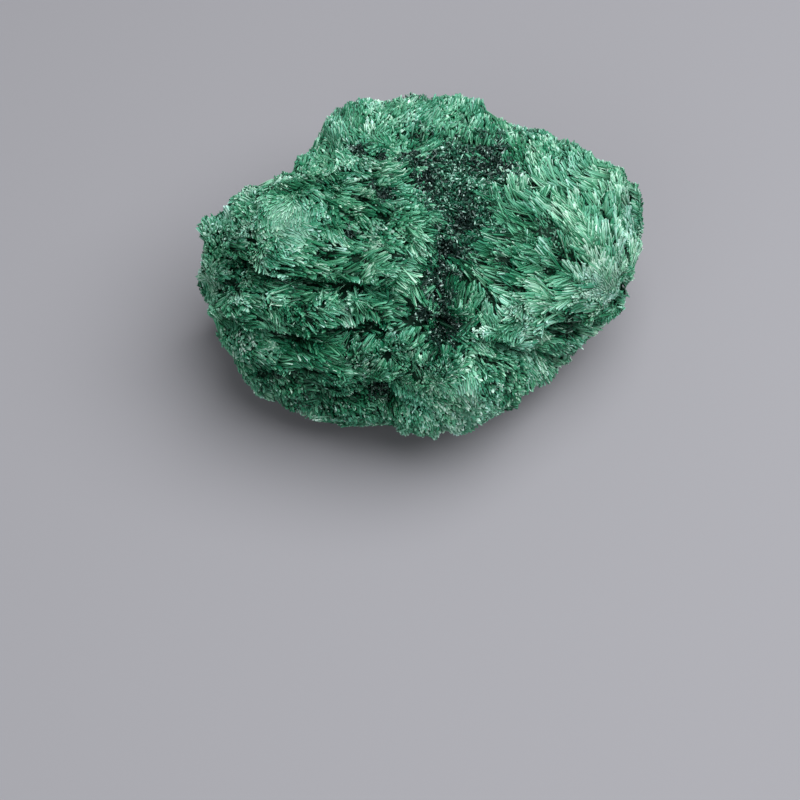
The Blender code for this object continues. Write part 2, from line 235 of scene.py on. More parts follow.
# Surroundings: lengths in metres, power in watts, and the lens and its sensor in mm
LENS = 85
SENSOR_WIDTH = 36
FLOOR_COLOUR = (0.202, 0.202, 0.218, 1.0)
FLOOR_RADIUS = 4.0
SKY_COLOUR = (0.96, 0.97, 1.0, 1.0)
SKY_STRENGTH = 0.31
LIT_POINT = (0, 0, 0.03)
# Name, place, size and power
LIGHTS = [("key", (0.31, -0.02, 0.84), 1.05, 17.8), ("fill", (-0.38, -0.80, 0.6), 0.8, 3.4)]

# Zones by photo position: x, y, radius in pixels, strength
ZONES = {
    "dark": [  # darker fibres: the dark basin and valley, and painted shade under the ledges and low on the front
        (452, 162, 42, 0.8), (478, 150, 30, 0.6), (425, 150, 24, 0.4), (468, 208, 30, 0.9),
        (456, 245, 22, 1.0), (446, 275, 18, 0.9), (438, 300, 23, 1.0), (448, 334, 23, 1.0),
        (415, 312, 14, 0.6), (378, 398, 20, 0.8), (330, 402, 30, 0.5), (345, 288, 16, 0.4),
        (305, 288, 22, 0.4), (330, 112, 6, 0.5), (235, 262, 12, 0.4), (566, 326, 16, 0.4),
        (398, 186, 20, 0.3), (400, 300, 14, 0.5), (330, 404, 60, 0.52), (240, 345, 40, 0.3),
        (470, 345, 24, 0.3), (262, 384, 40, 0.35), (258, 279, 9, 0.6), (275, 288, 10, 0.5),
        (558, 207, 16, 0.2), (567, 209, 10, 0.35), (360, 108, 14, 0.25),
    ],
    "druse": [  # crystals of the basin
        (450, 172, 36, 1.0), (490, 158, 26, 0.9), (470, 208, 27, 1.0), (457, 240, 20, 1.0),
        (446, 268, 14, 0.8), (418, 166, 20, 0.7), (440, 298, 15, 1.0), (447, 332, 17, 1.0),
        (402, 312, 9, 0.7), (378, 398, 12, 0.8), (432, 280, 12, 0.8), (424, 318, 10, 0.7),
        (361, 155, 8, 0.9), (388, 197, 9, 0.9), (373, 187, 6, 0.8), (351, 232, 6, 0.9),
        (383, 162, 5, 0.8),
    ],
    "black": [  # blackish patches of the basin
        (408, 157, 11, 0.9), (433, 145, 9, 0.8), (424, 172, 12, 1.0), (490, 154, 17, 1.0),
        (504, 164, 10, 1.0), (470, 214, 13, 1.0), (455, 250, 16, 1.0), (444, 264, 12, 1.0),
        (438, 294, 15, 1.0), (447, 332, 17, 1.0), (378, 398, 12, 0.9), (474, 190, 10, 0.6),
        (424, 316, 12, 0.9), (402, 312, 9, 0.8), (361, 155, 9, 0.7), (388, 197, 10, 0.8),
        (373, 187, 7, 0.7), (351, 232, 8, 0.8), (383, 162, 6, 0.7),
    ],
    "frost": [  # paler crystals of the basin, with more painted glints
        (464, 170, 11, 0.9), (452, 160, 7, 0.6), (481, 178, 9, 0.9), (495, 192, 12, 1.0),
        (504, 206, 9, 0.8), (407, 168, 6, 0.7), (444, 143, 8, 0.6), (486, 214, 8, 0.6),
        (470, 238, 8, 0.5), (498, 148, 6, 0.5), (463, 193, 7, 0.6),
    ],
    "pale": [  # paler and smoother fibres
        (298, 224, 32, 0.9), (587, 276, 34, 1.5), (510, 310, 28, 1.0), (468, 386, 32, 1.0),
        (600, 235, 50, 0.85), (615, 195, 40, 0.85), (400, 118, 60, 0.3), (250, 225, 40, 0.3),
        (230, 285, 24, 0.4), (565, 355, 30, 0.3), (540, 210, 34, 0.4), (275, 268, 22, 0.5),
        (530, 268, 26, 0.3), (365, 215, 42, 0.3), (405, 345, 20, 0.3),
    ],
    "crisp": [  # slimmer fibres with sharp lines
        (322, 312, 22, 1.0), (318, 358, 26, 1.0), (466, 282, 18, 0.7), (560, 356, 18, 0.9),
        (515, 225, 22, 0.7), (545, 268, 26, 0.6), (262, 282, 20, 0.6), (370, 190, 24, 0.5),
        (622, 222, 16, 0.8), (242, 305, 16, 0.4),
    ],
    "crust": [  # greyish fibres
        (248, 342, 16, 1.0), (272, 352, 10, 0.6),
    ],
    "fine": [  # short ends of fibres instead of bundles
        (318, 118, 20, 1.0), (348, 112, 26, 1.0), (388, 112, 26, 1.0), (428, 116, 24, 1.0),
        (370, 143, 26, 1.0), (405, 133, 20, 1.0), (462, 120, 20, 0.9), (500, 134, 16, 0.8),
        (335, 148, 22, 0.9), (305, 166, 20, 0.8), (215, 236, 22, 1.0), (242, 216, 16, 0.9),
        (472, 388, 32, 1.0), (450, 412, 30, 1.0), (428, 398, 22, 1.0), (502, 398, 22, 0.9),
        (300, 392, 30, 1.0), (334, 402, 34, 1.0), (268, 388, 24, 0.9), (370, 402, 20, 1.0),
        (355, 420, 26, 1.0), (240, 344, 20, 1.0), (262, 352, 14, 0.9), (405, 418, 24, 1.0),
        (342, 222, 16, 0.7), (398, 236, 20, 0.8), (424, 206, 18, 0.8), (365, 244, 16, 0.7),
        (524, 378, 20, 0.8), (545, 152, 16, 0.6), (596, 168, 16, 0.6), (470, 300, 10, 0.6),
        (345, 384, 14, 0.7), (430, 340, 10, 0.6), (475, 345, 18, 0.7), (590, 278, 22, 1.0),
        (298, 227, 30, 1.0), (314, 240, 18, 0.8),
    ],
    "wild": [  # tangled fibres
        (385, 212, 50, 1.0), (350, 250, 28, 0.8), (300, 300, 34, 0.7), (230, 290, 26, 0.7),
        (400, 300, 26, 0.8), (520, 362, 40, 0.8), (430, 370, 40, 1.0), (350, 170, 30, 0.7),
    ],
    "rise": [  # sheaves that stand proud of their surroundings, a little paler as painted light
        (266, 260, 10, 1.0), (276, 267, 10, 1.0), (285, 274, 9, 0.8), (247, 309, 11, 0.9),
        (349, 299, 11, 0.9), (588, 203, 8, 0.9), (591, 219, 9, 1.0), (594, 234, 9, 1.0),
        (520, 178, 9, 0.7), (506, 306, 13, 0.8), (318, 330, 11, 0.7), (300, 318, 9, 0.6),
        (397, 346, 10, 0.8), (440, 366, 10, 0.8), (243, 232, 10, 0.7), (356, 356, 9, 0.8),
    ],
}

# Smooth ground: x, y, radius, strength, tone
CALM_ZONES = [
    (300, 226, 27, 1.0, 0.58), (590, 277, 20, 1.0, 0.88), (468, 386, 22, 0.72, 0.60),
    (606, 228, 13, 0.7, 0.66), (508, 303, 12, 0.8, 0.66), (274, 264, 12, 0.9, 0.66),
    (232, 232, 12, 0.7, 0.46), (350, 122, 18, 0.8, 0.48), (376, 138, 16, 0.75, 0.56),
    (392, 108, 16, 0.8, 0.56), (430, 112, 16, 0.75, 0.52), (464, 118, 13, 0.7, 0.52),
    (334, 146, 12, 0.7, 0.50),
]

# Dark gaps between bundles, from end to end: x, y, x, y
SLITS = [
    (519, 214, 536, 235), (535, 190, 540, 196), (521, 165, 526, 169), (562, 189, 567, 200),
    (583, 214, 588, 226), (598, 206, 601, 217), (490, 258, 505, 266), (525, 263, 542, 271),
    (545, 261, 557, 270), (541, 275, 555, 280), (555, 280, 568, 282), (497, 283, 514, 288),
    (606, 249, 610, 259), (598, 275, 613, 270), (612, 285, 615, 293), (603, 305, 609, 298),
    (628, 259, 640, 267), (342, 212, 354, 220), (347, 231, 358, 240), (356, 193, 372, 204),
    (380, 218, 394, 224), (234, 252, 258, 252), (543, 250, 560, 259), (552, 311, 563, 316),
    (322, 256, 342, 262), (358, 256, 370, 259), (360, 304, 368, 314), (296, 298, 306, 316),
    (308, 300, 318, 316), (330, 226, 333, 229), (530, 234, 545, 244), (380, 193, 400, 203),
    (536, 222, 548, 236), (505, 200, 514, 210), (314, 336, 341, 331), (292, 341, 311, 345),
    (300, 367, 322, 372), (262, 373, 282, 375), (539, 312, 552, 312), (547, 326, 589, 322),
    (560, 336, 596, 335), (478, 356, 492, 360), (482, 381, 505, 376), (228, 283, 246, 295),
    (222, 306, 230, 318), (286, 314, 294, 320), (314, 318, 322, 328), (378, 310, 384, 326),
    (356, 150, 370, 160), (366, 218, 375, 220), (409, 214, 418, 218), (379, 188, 384, 192),
]

# How fibres lie in the photo: x, y, reach in pixels, direction of their tips in degrees
STROKES = [
    # Top ridge and upper right rim
    (350, 112, 16, 95), (385, 108, 16, 80), (425, 108, 16, 45), (452, 112, 14, 60),
    (478, 108, 12, 115), (495, 122, 12, 130), (515, 138, 14, 112), (345, 130, 12, 70),
    (330, 120, 10, 85), (338, 150, 14, 72), (400, 122, 14, 25), (375, 120, 10, 35),
    (440, 138, 16, 18), (540, 152, 14, 140), (570, 165, 14, 150), (600, 172, 14, 150),
    (622, 190, 14, 148), (545, 175, 12, 125), (612, 205, 12, 145), (628, 222, 12, 148),
    (630, 240, 10, 172),
    # Right lobe
    (595, 225, 14, 106), (575, 190, 14, 120), (610, 235, 10, 110), (500, 228, 14, 168),
    (520, 200, 14, 128), (540, 235, 16, 136), (500, 252, 14, 152), (560, 260, 14, 140),
    # Left of the basin
    (300, 168, 12, 25), (385, 178, 16, 2), (360, 190, 16, -4), (400, 195, 16, 0),
    (320, 185, 12, 0), (300, 195, 12, -25), (270, 183, 12, -35), (335, 205, 12, -40),
    (360, 208, 12, -10), (395, 215, 14, -20), (345, 218, 12, -38), (370, 228, 14, -38),
    (400, 235, 14, -30), (350, 240, 14, -35), (320, 215, 10, -70), (325, 230, 10, -40),
    # Pale dome and the left end
    (284, 226, 9, -88), (290, 240, 9, -45), (303, 245, 10, -18), (318, 243, 10, -22),
    (296, 212, 8, 215), (308, 206, 8, -35), (268, 230, 10, -84), (245, 235, 12, 2),
    (225, 235, 12, 10), (206, 222, 10, 62), (204, 245, 10, 65), (228, 250, 10, -30),
    (238, 255, 10, -32), (255, 248, 10, -12), (270, 258, 12, -38), (262, 268, 12, -42),
    (290, 252, 12, -20), (310, 254, 12, -22), (335, 250, 12, -14), (372, 253, 12, 12),
    (395, 262, 12, 20), (360, 268, 12, 15), (340, 262, 10, -20), (320, 272, 12, -16),
    (300, 276, 10, -14),
    # Terraces at the lower left
    (250, 283, 12, -34), (270, 280, 12, -36), (225, 282, 12, -16), (206, 268, 9, 86),
    (215, 262, 10, 60), (238, 278, 10, -6), (230, 296, 12, -28), (255, 300, 12, -20),
    (245, 312, 12, -28), (225, 315, 8, -62), (260, 330, 14, -8), (300, 312, 10, -38),
    (318, 305, 12, -46), (335, 318, 12, -42), (308, 322, 12, -28), (345, 335, 12, 0),
    (370, 315, 12, -18), (395, 325, 12, -12), (300, 336, 14, -4), (240, 345, 10, -30),
    (262, 350, 10, -25), (290, 348, 12, -32), (312, 352, 12, -32), (330, 360, 12, -34),
    (345, 368, 12, -25), (300, 375, 14, -6), (260, 378, 12, -12), (245, 375, 8, -40),
    (330, 385, 14, -8), (275, 395, 10, -38), (310, 400, 12, -14), (345, 412, 12, -14),
    (390, 405, 12, -20),
    # Under the right lobe
    (462, 275, 10, 66), (450, 290, 10, 62), (478, 300, 10, 55), (505, 290, 12, 178),
    (525, 272, 14, 160), (565, 300, 14, 176), (590, 312, 12, 182), (510, 312, 14, 184),
    (520, 322, 12, 192), (485, 322, 8, 125), (565, 332, 12, 6), (590, 332, 12, 10),
    (545, 348, 12, -12), (525, 347, 12, 18), (565, 350, 12, -40), (557, 366, 12, -55),
    (532, 372, 10, -75), (575, 345, 10, -20), (622, 283, 10, -48), (610, 300, 10, -50),
    (480, 345, 12, -30), (505, 360, 12, -25), (490, 385, 12, -35), (515, 385, 12, -30),
    (450, 400, 14, -25), (480, 405, 12, -20),
]

# Small sprays whose needles spread from one root: root x, root y, heading, spread, reach
SPRAYS = [
    (357, 307, 150, 70, 30), (383, 305, 95, 100, 26), (361, 366, 75, 110, 24),
    (403, 363, 95, 95, 32), (455, 322, 90, 110, 20), (440, 378, 95, 100, 24),
    (424, 352, 60, 90, 22), (300, 300, 200, 60, 22),
]


def smooth_step(value):
    """0 below 0, 1 above 1 and a soft rise between."""
    value = np.clip(value, 0.0, 1.0)
    return value * value * (3.0 - 2.0 * value)


def dot(first, second):
    """Row by row product of two lists of vectors."""
    return (first * second).sum(axis=1)


def unit(vectors, least=TINY):
    """Vectors scaled to length 1."""
    return vectors / (np.linalg.norm(vectors, axis=1)[:, None] + least)


def square_to(vectors, normals):
    """Unit vectors in the planes square to the normals, as near to the vectors as can be."""
    return unit(vectors - dot(vectors, normals)[:, None] * normals)


def turned(vectors, aside, angles):
    """Vectors turned by angles in radians towards those square to them."""
    return vectors * np.cos(angles)[:, None] + aside * np.sin(angles)[:, None]


def plan_radius(azimuth):
    """Half width of the lump at an azimuth in radians, a smooth curve through PLAN_RADII."""
    radii = np.array(PLAN_RADII)
    count = len(radii)
    place = (np.degrees(azimuth) % 360.0) / (360.0 / count)
    index = np.floor(place).astype(int) % count
    part = place - np.floor(place)
    before = radii[(index - 1) % count]
    here = radii[index]
    after = radii[(index + 1) % count]
    beyond = radii[(index + 2) % count]
    return 0.5 * (2 * here + (after - before) * part
                  + (2 * before - 5 * here + 4 * after - beyond) * part ** 2
                  + (3 * here - before - 3 * after + beyond) * part ** 3)


def lump_radius(directions):
    """Distance from the centre to the surface of the plain lump along unit directions."""
    azimuth = np.arctan2(directions[:, 1], directions[:, 0])
    level = np.hypot(directions[:, 0], directions[:, 1]) / plan_radius(azimuth)
    upright = np.abs(directions[:, 2]) / np.where(directions[:, 2] > 0, TOP_RISE, LOW_DROP)
    return (level ** FULLNESS + upright ** FULLNESS) ** (-1.0 / FULLNESS)


def lump_offsets(directions):
    """Places on the plain lump along unit directions, from its centre."""
    return directions * lump_radius(directions)[:, None]


def normals_of(surface, directions, step, least=TINY):
    """Outward unit normals of a surface over directions, by small steps sideways."""
    side = unit(np.cross(directions, SIDEWAYS), least)
    edges = []
    for way in (side, np.cross(directions, side)):
        ahead = surface(unit(directions + step * way, least))
        edges.append(ahead - surface(unit(directions - step * way, least)))
    normals = unit(np.cross(edges[0], edges[1]), least)
    return normals * np.sign(dot(normals, directions))[:, None]


def lump_normals(directions):
    """Outward unit normals of the plain lump."""
    return normals_of(lump_offsets, directions, step=0.02, least=0.0)


def facing_photo(points, normals, least=TINY):
    """How far surfaces at the points turn to the photo's view: 1 at it, 0 aside."""
    return dot(normals, unit(VIEW_POINT - points, least))


def photo_position(points):
    """Photo x and y of points in space."""
    seen = points - VIEW_POINT
    depth = seen @ VIEW_INTO
    across = PHOTO_MIDDLE + FOCAL_PIXELS * (seen @ VIEW_RIGHT) / depth
    down = PHOTO_MIDDLE - FOCAL_PIXELS * (seen @ VIEW_UP) / depth
    return np.stack([across, down], axis=1)


def unevenness(points, wavelength, seed):
    """Soft random rise and fall between about -1 and 1 with the given wavelength."""
    chance = np.random.default_rng(seed)
    total = np.zeros(len(points))
    waves = 28
    for _ in range(waves):
        way = chance.normal(size=3)
        way *= 2 * math.pi / wavelength / np.linalg.norm(way) * chance.uniform(0.7, 1.4)
        total += np.sin(points @ way + chance.uniform(0, 2 * math.pi))
    return total / math.sqrt(waves / 2.0) * 0.6


def spot(pixels, x, y, radius):
    """Squared distance of photo positions from a spot, as a share of its radius."""
    return ((pixels[:, 0] - x) ** 2 + (pixels[:, 1] - y) ** 2) / radius ** 2


def from_root(pixels, root_x, root_y, heading):
    """Photo positions seen from a root: across, up and degrees away from the heading."""
    across = pixels[:, 0] - root_x
    up = root_y - pixels[:, 1]
    angle = np.degrees(np.arctan2(up, across)) - heading
    return across, up, (angle + 180.0) % 360.0 - 180.0


def ledge_drop(pixels, depth, reach, points):
    """How far the ground lies down below a ledge: deep at its foot, nothing further away."""
    nearest = np.full(len(pixels), FAR)
    drop = np.zeros(len(pixels))
    corners = np.array(points, dtype=float)
    lengths = np.linalg.norm(np.diff(corners, axis=0), axis=1)
    whole = lengths.sum()
    walked = 0.0
    for start, end, length in zip(corners[:-1], corners[1:], lengths):
        way = (end - start) / length
        offset = pixels - start
        along = np.clip(offset @ way, 0.0, length)
        gap = pixels - (start + along[:, None] * way)
        distance = np.linalg.norm(gap, axis=1)
        # The photo's y runs down, so this is positive below a way that runs to the left
        side = offset[:, 0] * way[1] - offset[:, 1] * way[0]
        share = (walked + along) / whole
        fade = smooth_step(share / 0.2) * smooth_step((1.0 - share) / 0.2)
        below = smooth_step(side / 4.0) * smooth_step(1.0 - distance / reach)
        closer = distance < nearest
        drop = np.where(closer, depth * fade * below, drop)
        nearest = np.where(closer, distance, nearest)
        walked += length
    return drop


def fan_rise(pixels, fan):
    """Rise of one fan: a ramp from its root to its tips with a steep end, in rays."""
    root_x, root_y, heading, spread, reach, rise = fan
    across, up, angle = from_root(pixels, root_x, root_y, heading)
    distance = np.hypot(across, up)
    edge = smooth_step((spread / 2.0 + 8.0 - np.abs(angle)) / 16.0)
    rays = 1.0 + 0.22 * np.cos(np.radians(angle) * 360.0 / 26.0)
    ragged = reach * (1.0 + 0.10 * np.sin(np.radians(angle) * 9.0 + root_x))
    ramp = (distance / reach) * smooth_step((ragged - distance) / 6.0 + 0.5)
    return rise * edge * rays * ramp


def photo_relief(pixels):
    """Height of the relief seen in the photo, at photo positions."""
    height = np.zeros(len(pixels))
    for x, y, radius, rise in DOMES:
        height += rise * np.exp(-spot(pixels, x, y, radius))
    for x, y, radius, depth in HOLLOWS:
        height -= depth * np.exp(-spot(pixels, x, y, radius))
    for depth, reach, points in LEDGES:
        height -= ledge_drop(pixels, depth, reach, points)
    rises = [fan_rise(pixels, fan) for fan in FANS]
    return height + np.max(rises, axis=0)


def back_cells(directions, radii):
    """Cells of the sides that aren't seen, one for each scattered fan: how near each fan's root
    is, and for each direction its cell, the way from that root in mm and the fan's heading."""
    chance = np.random.default_rng(BACK_SEED)
    roots = unit(chance.normal(size=(BACK_FANS, 3)), 0.0)
    headings = unit(np.cross(roots, chance.normal(size=(BACK_FANS, 3))), 0.0)
    sizes = chance.uniform(0.75, 1.25, BACK_FANS)
    apart = np.arccos(np.clip(directions @ roots.T, -1.0, 1.0)) / sizes
    owner = np.argmin(apart, axis=1)
    return apart, owner, (directions - roots[owner]) * radii[:, None], headings[owner]


def back_relief(directions, radii):
    """Relief of the sides that aren't seen: plates that rise from their roots to their tips."""
    apart, _, offset, heading = back_cells(directions, radii)
    nearest = np.sort(apart, axis=1)
    border = (nearest[:, 1] - nearest[:, 0]) * radii
    ramp = np.clip(0.5 + dot(offset, heading) / BACK_LENGTH, 0.0, 1.15)
    return BACK_RISE * (ramp * (0.6 + 0.4 * smooth_step(border / 3.0)) - 0.5)


def surface_points(directions):
    """Points of the finished surface along unit directions from the centre."""
    radii = lump_radius(directions)
    plain = CENTRE + directions * radii[:, None]
    facing = facing_photo(plain, lump_normals(directions), 0.0)
    height = smooth_step((facing + 0.12) / 0.3) * photo_relief(photo_position(plain))
    height += smooth_step((0.42 - facing) / 0.4) * back_relief(directions, radii)
    for wavelength, amount, seed in GRAIN:
        height += amount * unevenness(plain, wavelength, seed)
    height += UNDERSIDE_PUSH * smooth_step((-directions[:, 2] - 0.70) / 0.16)
    return plain + directions * height[:, None]


def ripple(points, name):
    """The unevenness that RIPPLES lists under the name."""
    return unevenness(points, *RIPPLES[name])


def zone_strength(pixels, zones):
    """Strength of the nearest zones at photo positions, 0 to 1."""
    total = np.zeros(len(pixels))
    for x, y, radius, strength in zones:
        total = np.maximum(total, strength * np.exp(-spot(pixels, x, y, radius) * 0.8))
    return total


def calm_ground(pixels, places):
    """How smooth the ground between the fibres is, 0 to 1, and its tone."""
    share = zone_strength(pixels, [zone[:4] for zone in CALM_ZONES])
    share = smooth_step((share + 0.16 * ripple(places, "calm border") - 0.36) / 0.34)
    tones = np.zeros(len(pixels))
    total = np.full(len(pixels), LEAST_WEIGHT)
    for x, y, radius, _, tone in CALM_ZONES:
        weight = np.exp(-spot(pixels, x, y, radius))
        tones += weight * tone
        total += weight
    return share, tones / total


def near_slits(pixels):
    """How close photo positions are to a slit, in pixels."""
    nearest = np.full(len(pixels), FAR)
    for x1, y1, x2, y2 in SLITS:
        run = np.array([x2 - x1, y2 - y1], dtype=float)
        away = pixels - [x1, y1]
        share = np.clip(away @ run / (run @ run), 0.0, 1.0)
        nearest = np.minimum(nearest, np.linalg.norm(away - share[:, None] * run, axis=1))
    return nearest


def fan_flow(pixels):
    """Direction in the photo in which fibres run at photo positions, and their fan's reach."""
    best = np.full(len(pixels), FAR)
    flow = np.zeros((len(pixels), 2))
    reach_here = np.zeros(len(pixels))
    for root_x, root_y, heading, spread, reach, _ in FANS:
        across, up, angle = from_root(pixels, root_x, root_y, heading)
        outside = np.maximum(np.abs(angle) - spread / 2.0, 0.0)
        score = np.hypot(across, up) / reach + outside / 35.0
        behind = 0.22 * reach
        run_x = across + behind * math.cos(math.radians(heading))
        run_y = up + behind * math.sin(math.radians(heading))
        length = np.hypot(run_x, run_y) + LEAST_RUN
        better = score < best
        best = np.where(better, score, best)
        flow[better, 0] = (run_x / length)[better]
        flow[better, 1] = (run_y / length)[better]
        reach_here[better] = reach
    return flow, reach_here


def combed(flow, pixels):
    """The flow turned to lie as the strokes and sprays do near them, and the sprays' strength."""
    total = 0.4 * flow
    for x, y, near, direction in STROKES:
        angle = math.radians(direction)
        way = np.array([math.cos(angle), math.sin(angle)])
        total += 2.0 * np.exp(-spot(pixels, x, y, near))[:, None] * way
    total = unit(total)
    strongest = np.zeros(len(pixels))
    for root_x, root_y, heading, spread, reach in SPRAYS:
        across, up, angle = from_root(pixels, root_x, root_y, heading)
        inside = smooth_step((spread / 2 + 10 - np.abs(angle)) / 14)
        inside = inside * smooth_step((reach * 1.15 - np.hypot(across, up)) / (0.2 * reach))
        away = unit(np.column_stack([across, up]))
        total = unit(total * (1 - inside)[:, None] + away * inside[:, None] * 1.5)
        strongest = np.maximum(strongest, inside)
    return total, strongest


def back_flow(directions, radii):
    """Fibre direction and cell number on the sides that the photo doesn't show."""
    _, owner, offset, heading = back_cells(directions, radii)
    return unit(offset + heading * 11.0), owner


def fine_ball():
    """Unit directions and triangles of a finely divided ball."""
    ball = bmesh.new()
    bmesh.ops.create_icosphere(ball, subdivisions=CORE_LEVEL, radius=1.0)
    directions = np.array([vertex.co for vertex in ball.verts])
    triangles = np.array([[vertex.index for vertex in face.verts] for face in ball.faces])
    ball.free()
    return unit(directions), triangles


def vertex_normals(points, triangles):
    """Normals at the points of a triangle mesh."""
    corners = points[triangles]
    flat = np.cross(corners[:, 1] - corners[:, 0], corners[:, 2] - corners[:, 0])
    total = np.zeros_like(points)
    for corner in range(3):
        np.add.at(total, triangles[:, corner], flat)
    return unit(total)


def make_mesh(name, points, triangles, map_points, material, smooth):
    """A piece from points in mm, with its UV map, riding on the lump's body."""
    mesh = bpy.data.meshes.new(name)
    mesh.vertices.add(len(points))
    mesh.vertices.foreach_set("co", (points * MM).astype(np.float32).ravel())
    mesh.loops.add(len(triangles) * 3)
    mesh.loops.foreach_set("vertex_index", triangles.astype(np.int32).ravel())
    mesh.polygons.add(len(triangles))
    mesh.polygons.foreach_set("loop_start", np.arange(0, len(triangles) * 3, 3, dtype=np.int32))
    mesh.polygons.foreach_set("use_smooth", np.full(len(triangles), smooth))
    layer = mesh.uv_layers.new(name="OFBake")
    layer.data.foreach_set("uv", map_points.astype(np.float32).ravel())
    mesh.update(calc_edges=True)
    mesh.validate()
    mesh.materials.append(material)
    piece = bpy.data.objects.new(name, mesh)
    bpy.context.scene.collection.objects.link(piece)
    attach(piece, "root")
    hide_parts("malachite")
    return piece


def new_material(name):
    """A material with its nodes, its links and its surface node."""
    material = bpy.data.materials.new(name)
    material.use_nodes = True
    nodes = material.node_tree.nodes
    return material, nodes, material.node_tree.links, nodes["Principled BSDF"]


def colour_ramp(nodes, links, source, stops):
    """Output of a colour ramp with the given places and colours, the first at 0."""
    ramp = nodes.new("ShaderNodeValToRGB")
    items = ramp.color_ramp.elements
    items.remove(items[1])
    items[0].color = (*stops[0][1], 1)
    for place, colour in stops[1:]:
        items.new(place).color = (*colour, 1)
    links.new(source, ramp.inputs[0])
    return ramp.outputs[0]


def calculated(nodes, links, operation, *values):
    """Output of a math node whose inputs are other nodes' outputs or plain numbers."""
    step = nodes.new("ShaderNodeMath")
    step.operation = operation
    for socket, value in zip(step.inputs, values):
        if isinstance(value, float):
            socket.default_value = value
        else:
            links.new(value, socket)
    return step.outputs[0]


def multiplied(nodes, links, first, second):
    """Output with the product of two colours."""
    mix = nodes.new("ShaderNodeMix")
    mix.data_type = "RGBA"
    mix.blend_type = "MULTIPLY"
    mix.inputs["Factor"].default_value = 1.0
    links.new(first, mix.inputs["A"])
    links.new(second, mix.inputs["B"])
    return mix.outputs["Result"]


def fibre_material(name, tones, roughness, specular, sheen_colour):
    """Tone that runs along U of the palette, while V goes from root to tip in four hues, with
    painted shade at roots and feet and a painted highlight at the tips.
    """
    material, nodes, links, surface = new_material(name)
    place = nodes.new("ShaderNodeUVMap")
    place.uv_map = "OFBake"
    split = nodes.new("ShaderNodeSeparateXYZ")
    links.new(place.outputs[0], split.inputs[0])
    tone = colour_ramp(nodes, links, split.outputs[0], tones)
    rows = calculated(nodes, links, "MULTIPLY", split.outputs[1], HUE_COUNT)
    along = calculated(nodes, links, "FRACT", rows)
    row = calculated(nodes, links, "FLOOR", rows)
    share = calculated(nodes, links, "DIVIDE", row, HUE_COUNT - 1.0)
    hue = colour_ramp(nodes, links, share, HUES)
    hue.node.color_ramp.interpolation = "CONSTANT"
    fade = colour_ramp(nodes, links, along, ROOT_SHADE_TO_TIP_HIGHLIGHT)
    tint = multiplied(nodes, links, tone, hue)
    links.new(multiplied(nodes, links, tint, fade), surface.inputs["Base Color"])
    surface.inputs["Roughness"].default_value = roughness
    surface.inputs["Specular IOR Level"].default_value = specular
    surface.inputs["Specular Tint"].default_value = (*sheen_colour, 1.0)
    return material


def core_material():
    """Very dark green ground between the needles, its dark partly the stone's own deep green and
    partly painted shade in the gaps; pale green where it is smooth.
    """
    material, nodes, links, surface = new_material("malachite_core")
    place = nodes.new("ShaderNodeTexCoord")
    grain = nodes.new("ShaderNodeTexNoise")
    grain.inputs["Scale"].default_value = 1100.0
    grain.inputs["Detail"].default_value = 3.0
    links.new(place.outputs["Object"], grain.inputs["Vector"])
    ground = nodes.new("ShaderNodeAttribute")
    ground.attribute_name = "ground_tone"
    uneven = calculated(nodes, links, "MULTIPLY_ADD", grain.outputs[0], 0.8, 0.6)
    tone = calculated(nodes, links, "MULTIPLY", ground.outputs["Fac"], uneven)
    links.new(colour_ramp(nodes, links, tone, GROUND_TONES), surface.inputs["Base Color"])
    surface.inputs["Roughness"].default_value = 0.55
    surface.inputs["Specular IOR Level"].default_value = 0.05
    return material


def octahedral_map(directions):
    """Places on a square for directions: the ball unfolded without overlaps."""
    flat = directions / np.abs(directions).sum(axis=1)[:, None]
    across, along = flat[:, 0], flat[:, 1]
    below = flat[:, 2] < 0
    folded_x = (1 - np.abs(along)) * np.where(across >= 0, 1, -1)
    folded_y = (1 - np.abs(across)) * np.where(along >= 0, 1, -1)
    across = np.where(below, folded_x, across)
    along = np.where(below, folded_y, along)
    return np.stack([across * 0.5 + 0.5, along * 0.5 + 0.5], axis=1)


def make_core(directions, triangles, points, normals):
    """The dark ground under the needles, partly painted shade in the gaps, flat where the lump
    rests.
    """
    plain = CENTRE + lump_offsets(directions)
    calm, tone = calm_ground(photo_position(plain), plain)
    calm = calm * (facing_photo(plain, normals) > 0.0)
    sink = (CORE_SINK[0] + CORE_SINK[1] * ripple(points, "core")) * (1 - calm)
    sink += (CALM_SINK[0] + CALM_SINK[1] * ripple(points, "calm core")) * calm
    inner = points - normals * sink[:, None]
    inner[:, :2] += OVER_ORIGIN
    inner[:, 2] = np.maximum(inner[:, 2], 0.0)
    maps = octahedral_map(directions)[triangles].reshape(-1, 2)
    core = make_mesh("malachite_core", inner, triangles, maps, core_material(), True)
    tones = core.data.attributes.new("ground_tone", "FLOAT", "POINT")
    tones.data.foreach_set("value", (CORE_TONE + calm * tone).astype(np.float32))


def sample_surface(points, triangles, count, chance, weights):
    """Random places on the mesh, spread evenly by area times weight."""
    corners = points[triangles]
    area = np.linalg.norm(np.cross(corners[:, 1] - corners[:, 0],
                                   corners[:, 2] - corners[:, 0]), axis=1)
    running = np.cumsum(area * weights)
    marks = (np.arange(count) + chance.random(count)) / count * running[-1]
    picks = np.minimum(np.searchsorted(running, marks), len(triangles) - 1)
    share = chance.random((count, 2))
    flip = share.sum(axis=1) > 1
    share[flip] = 1 - share[flip]
    mix = np.column_stack([1 - share.sum(axis=1), share])
    return (corners[picks] * mix[:, :, None]).sum(axis=1)


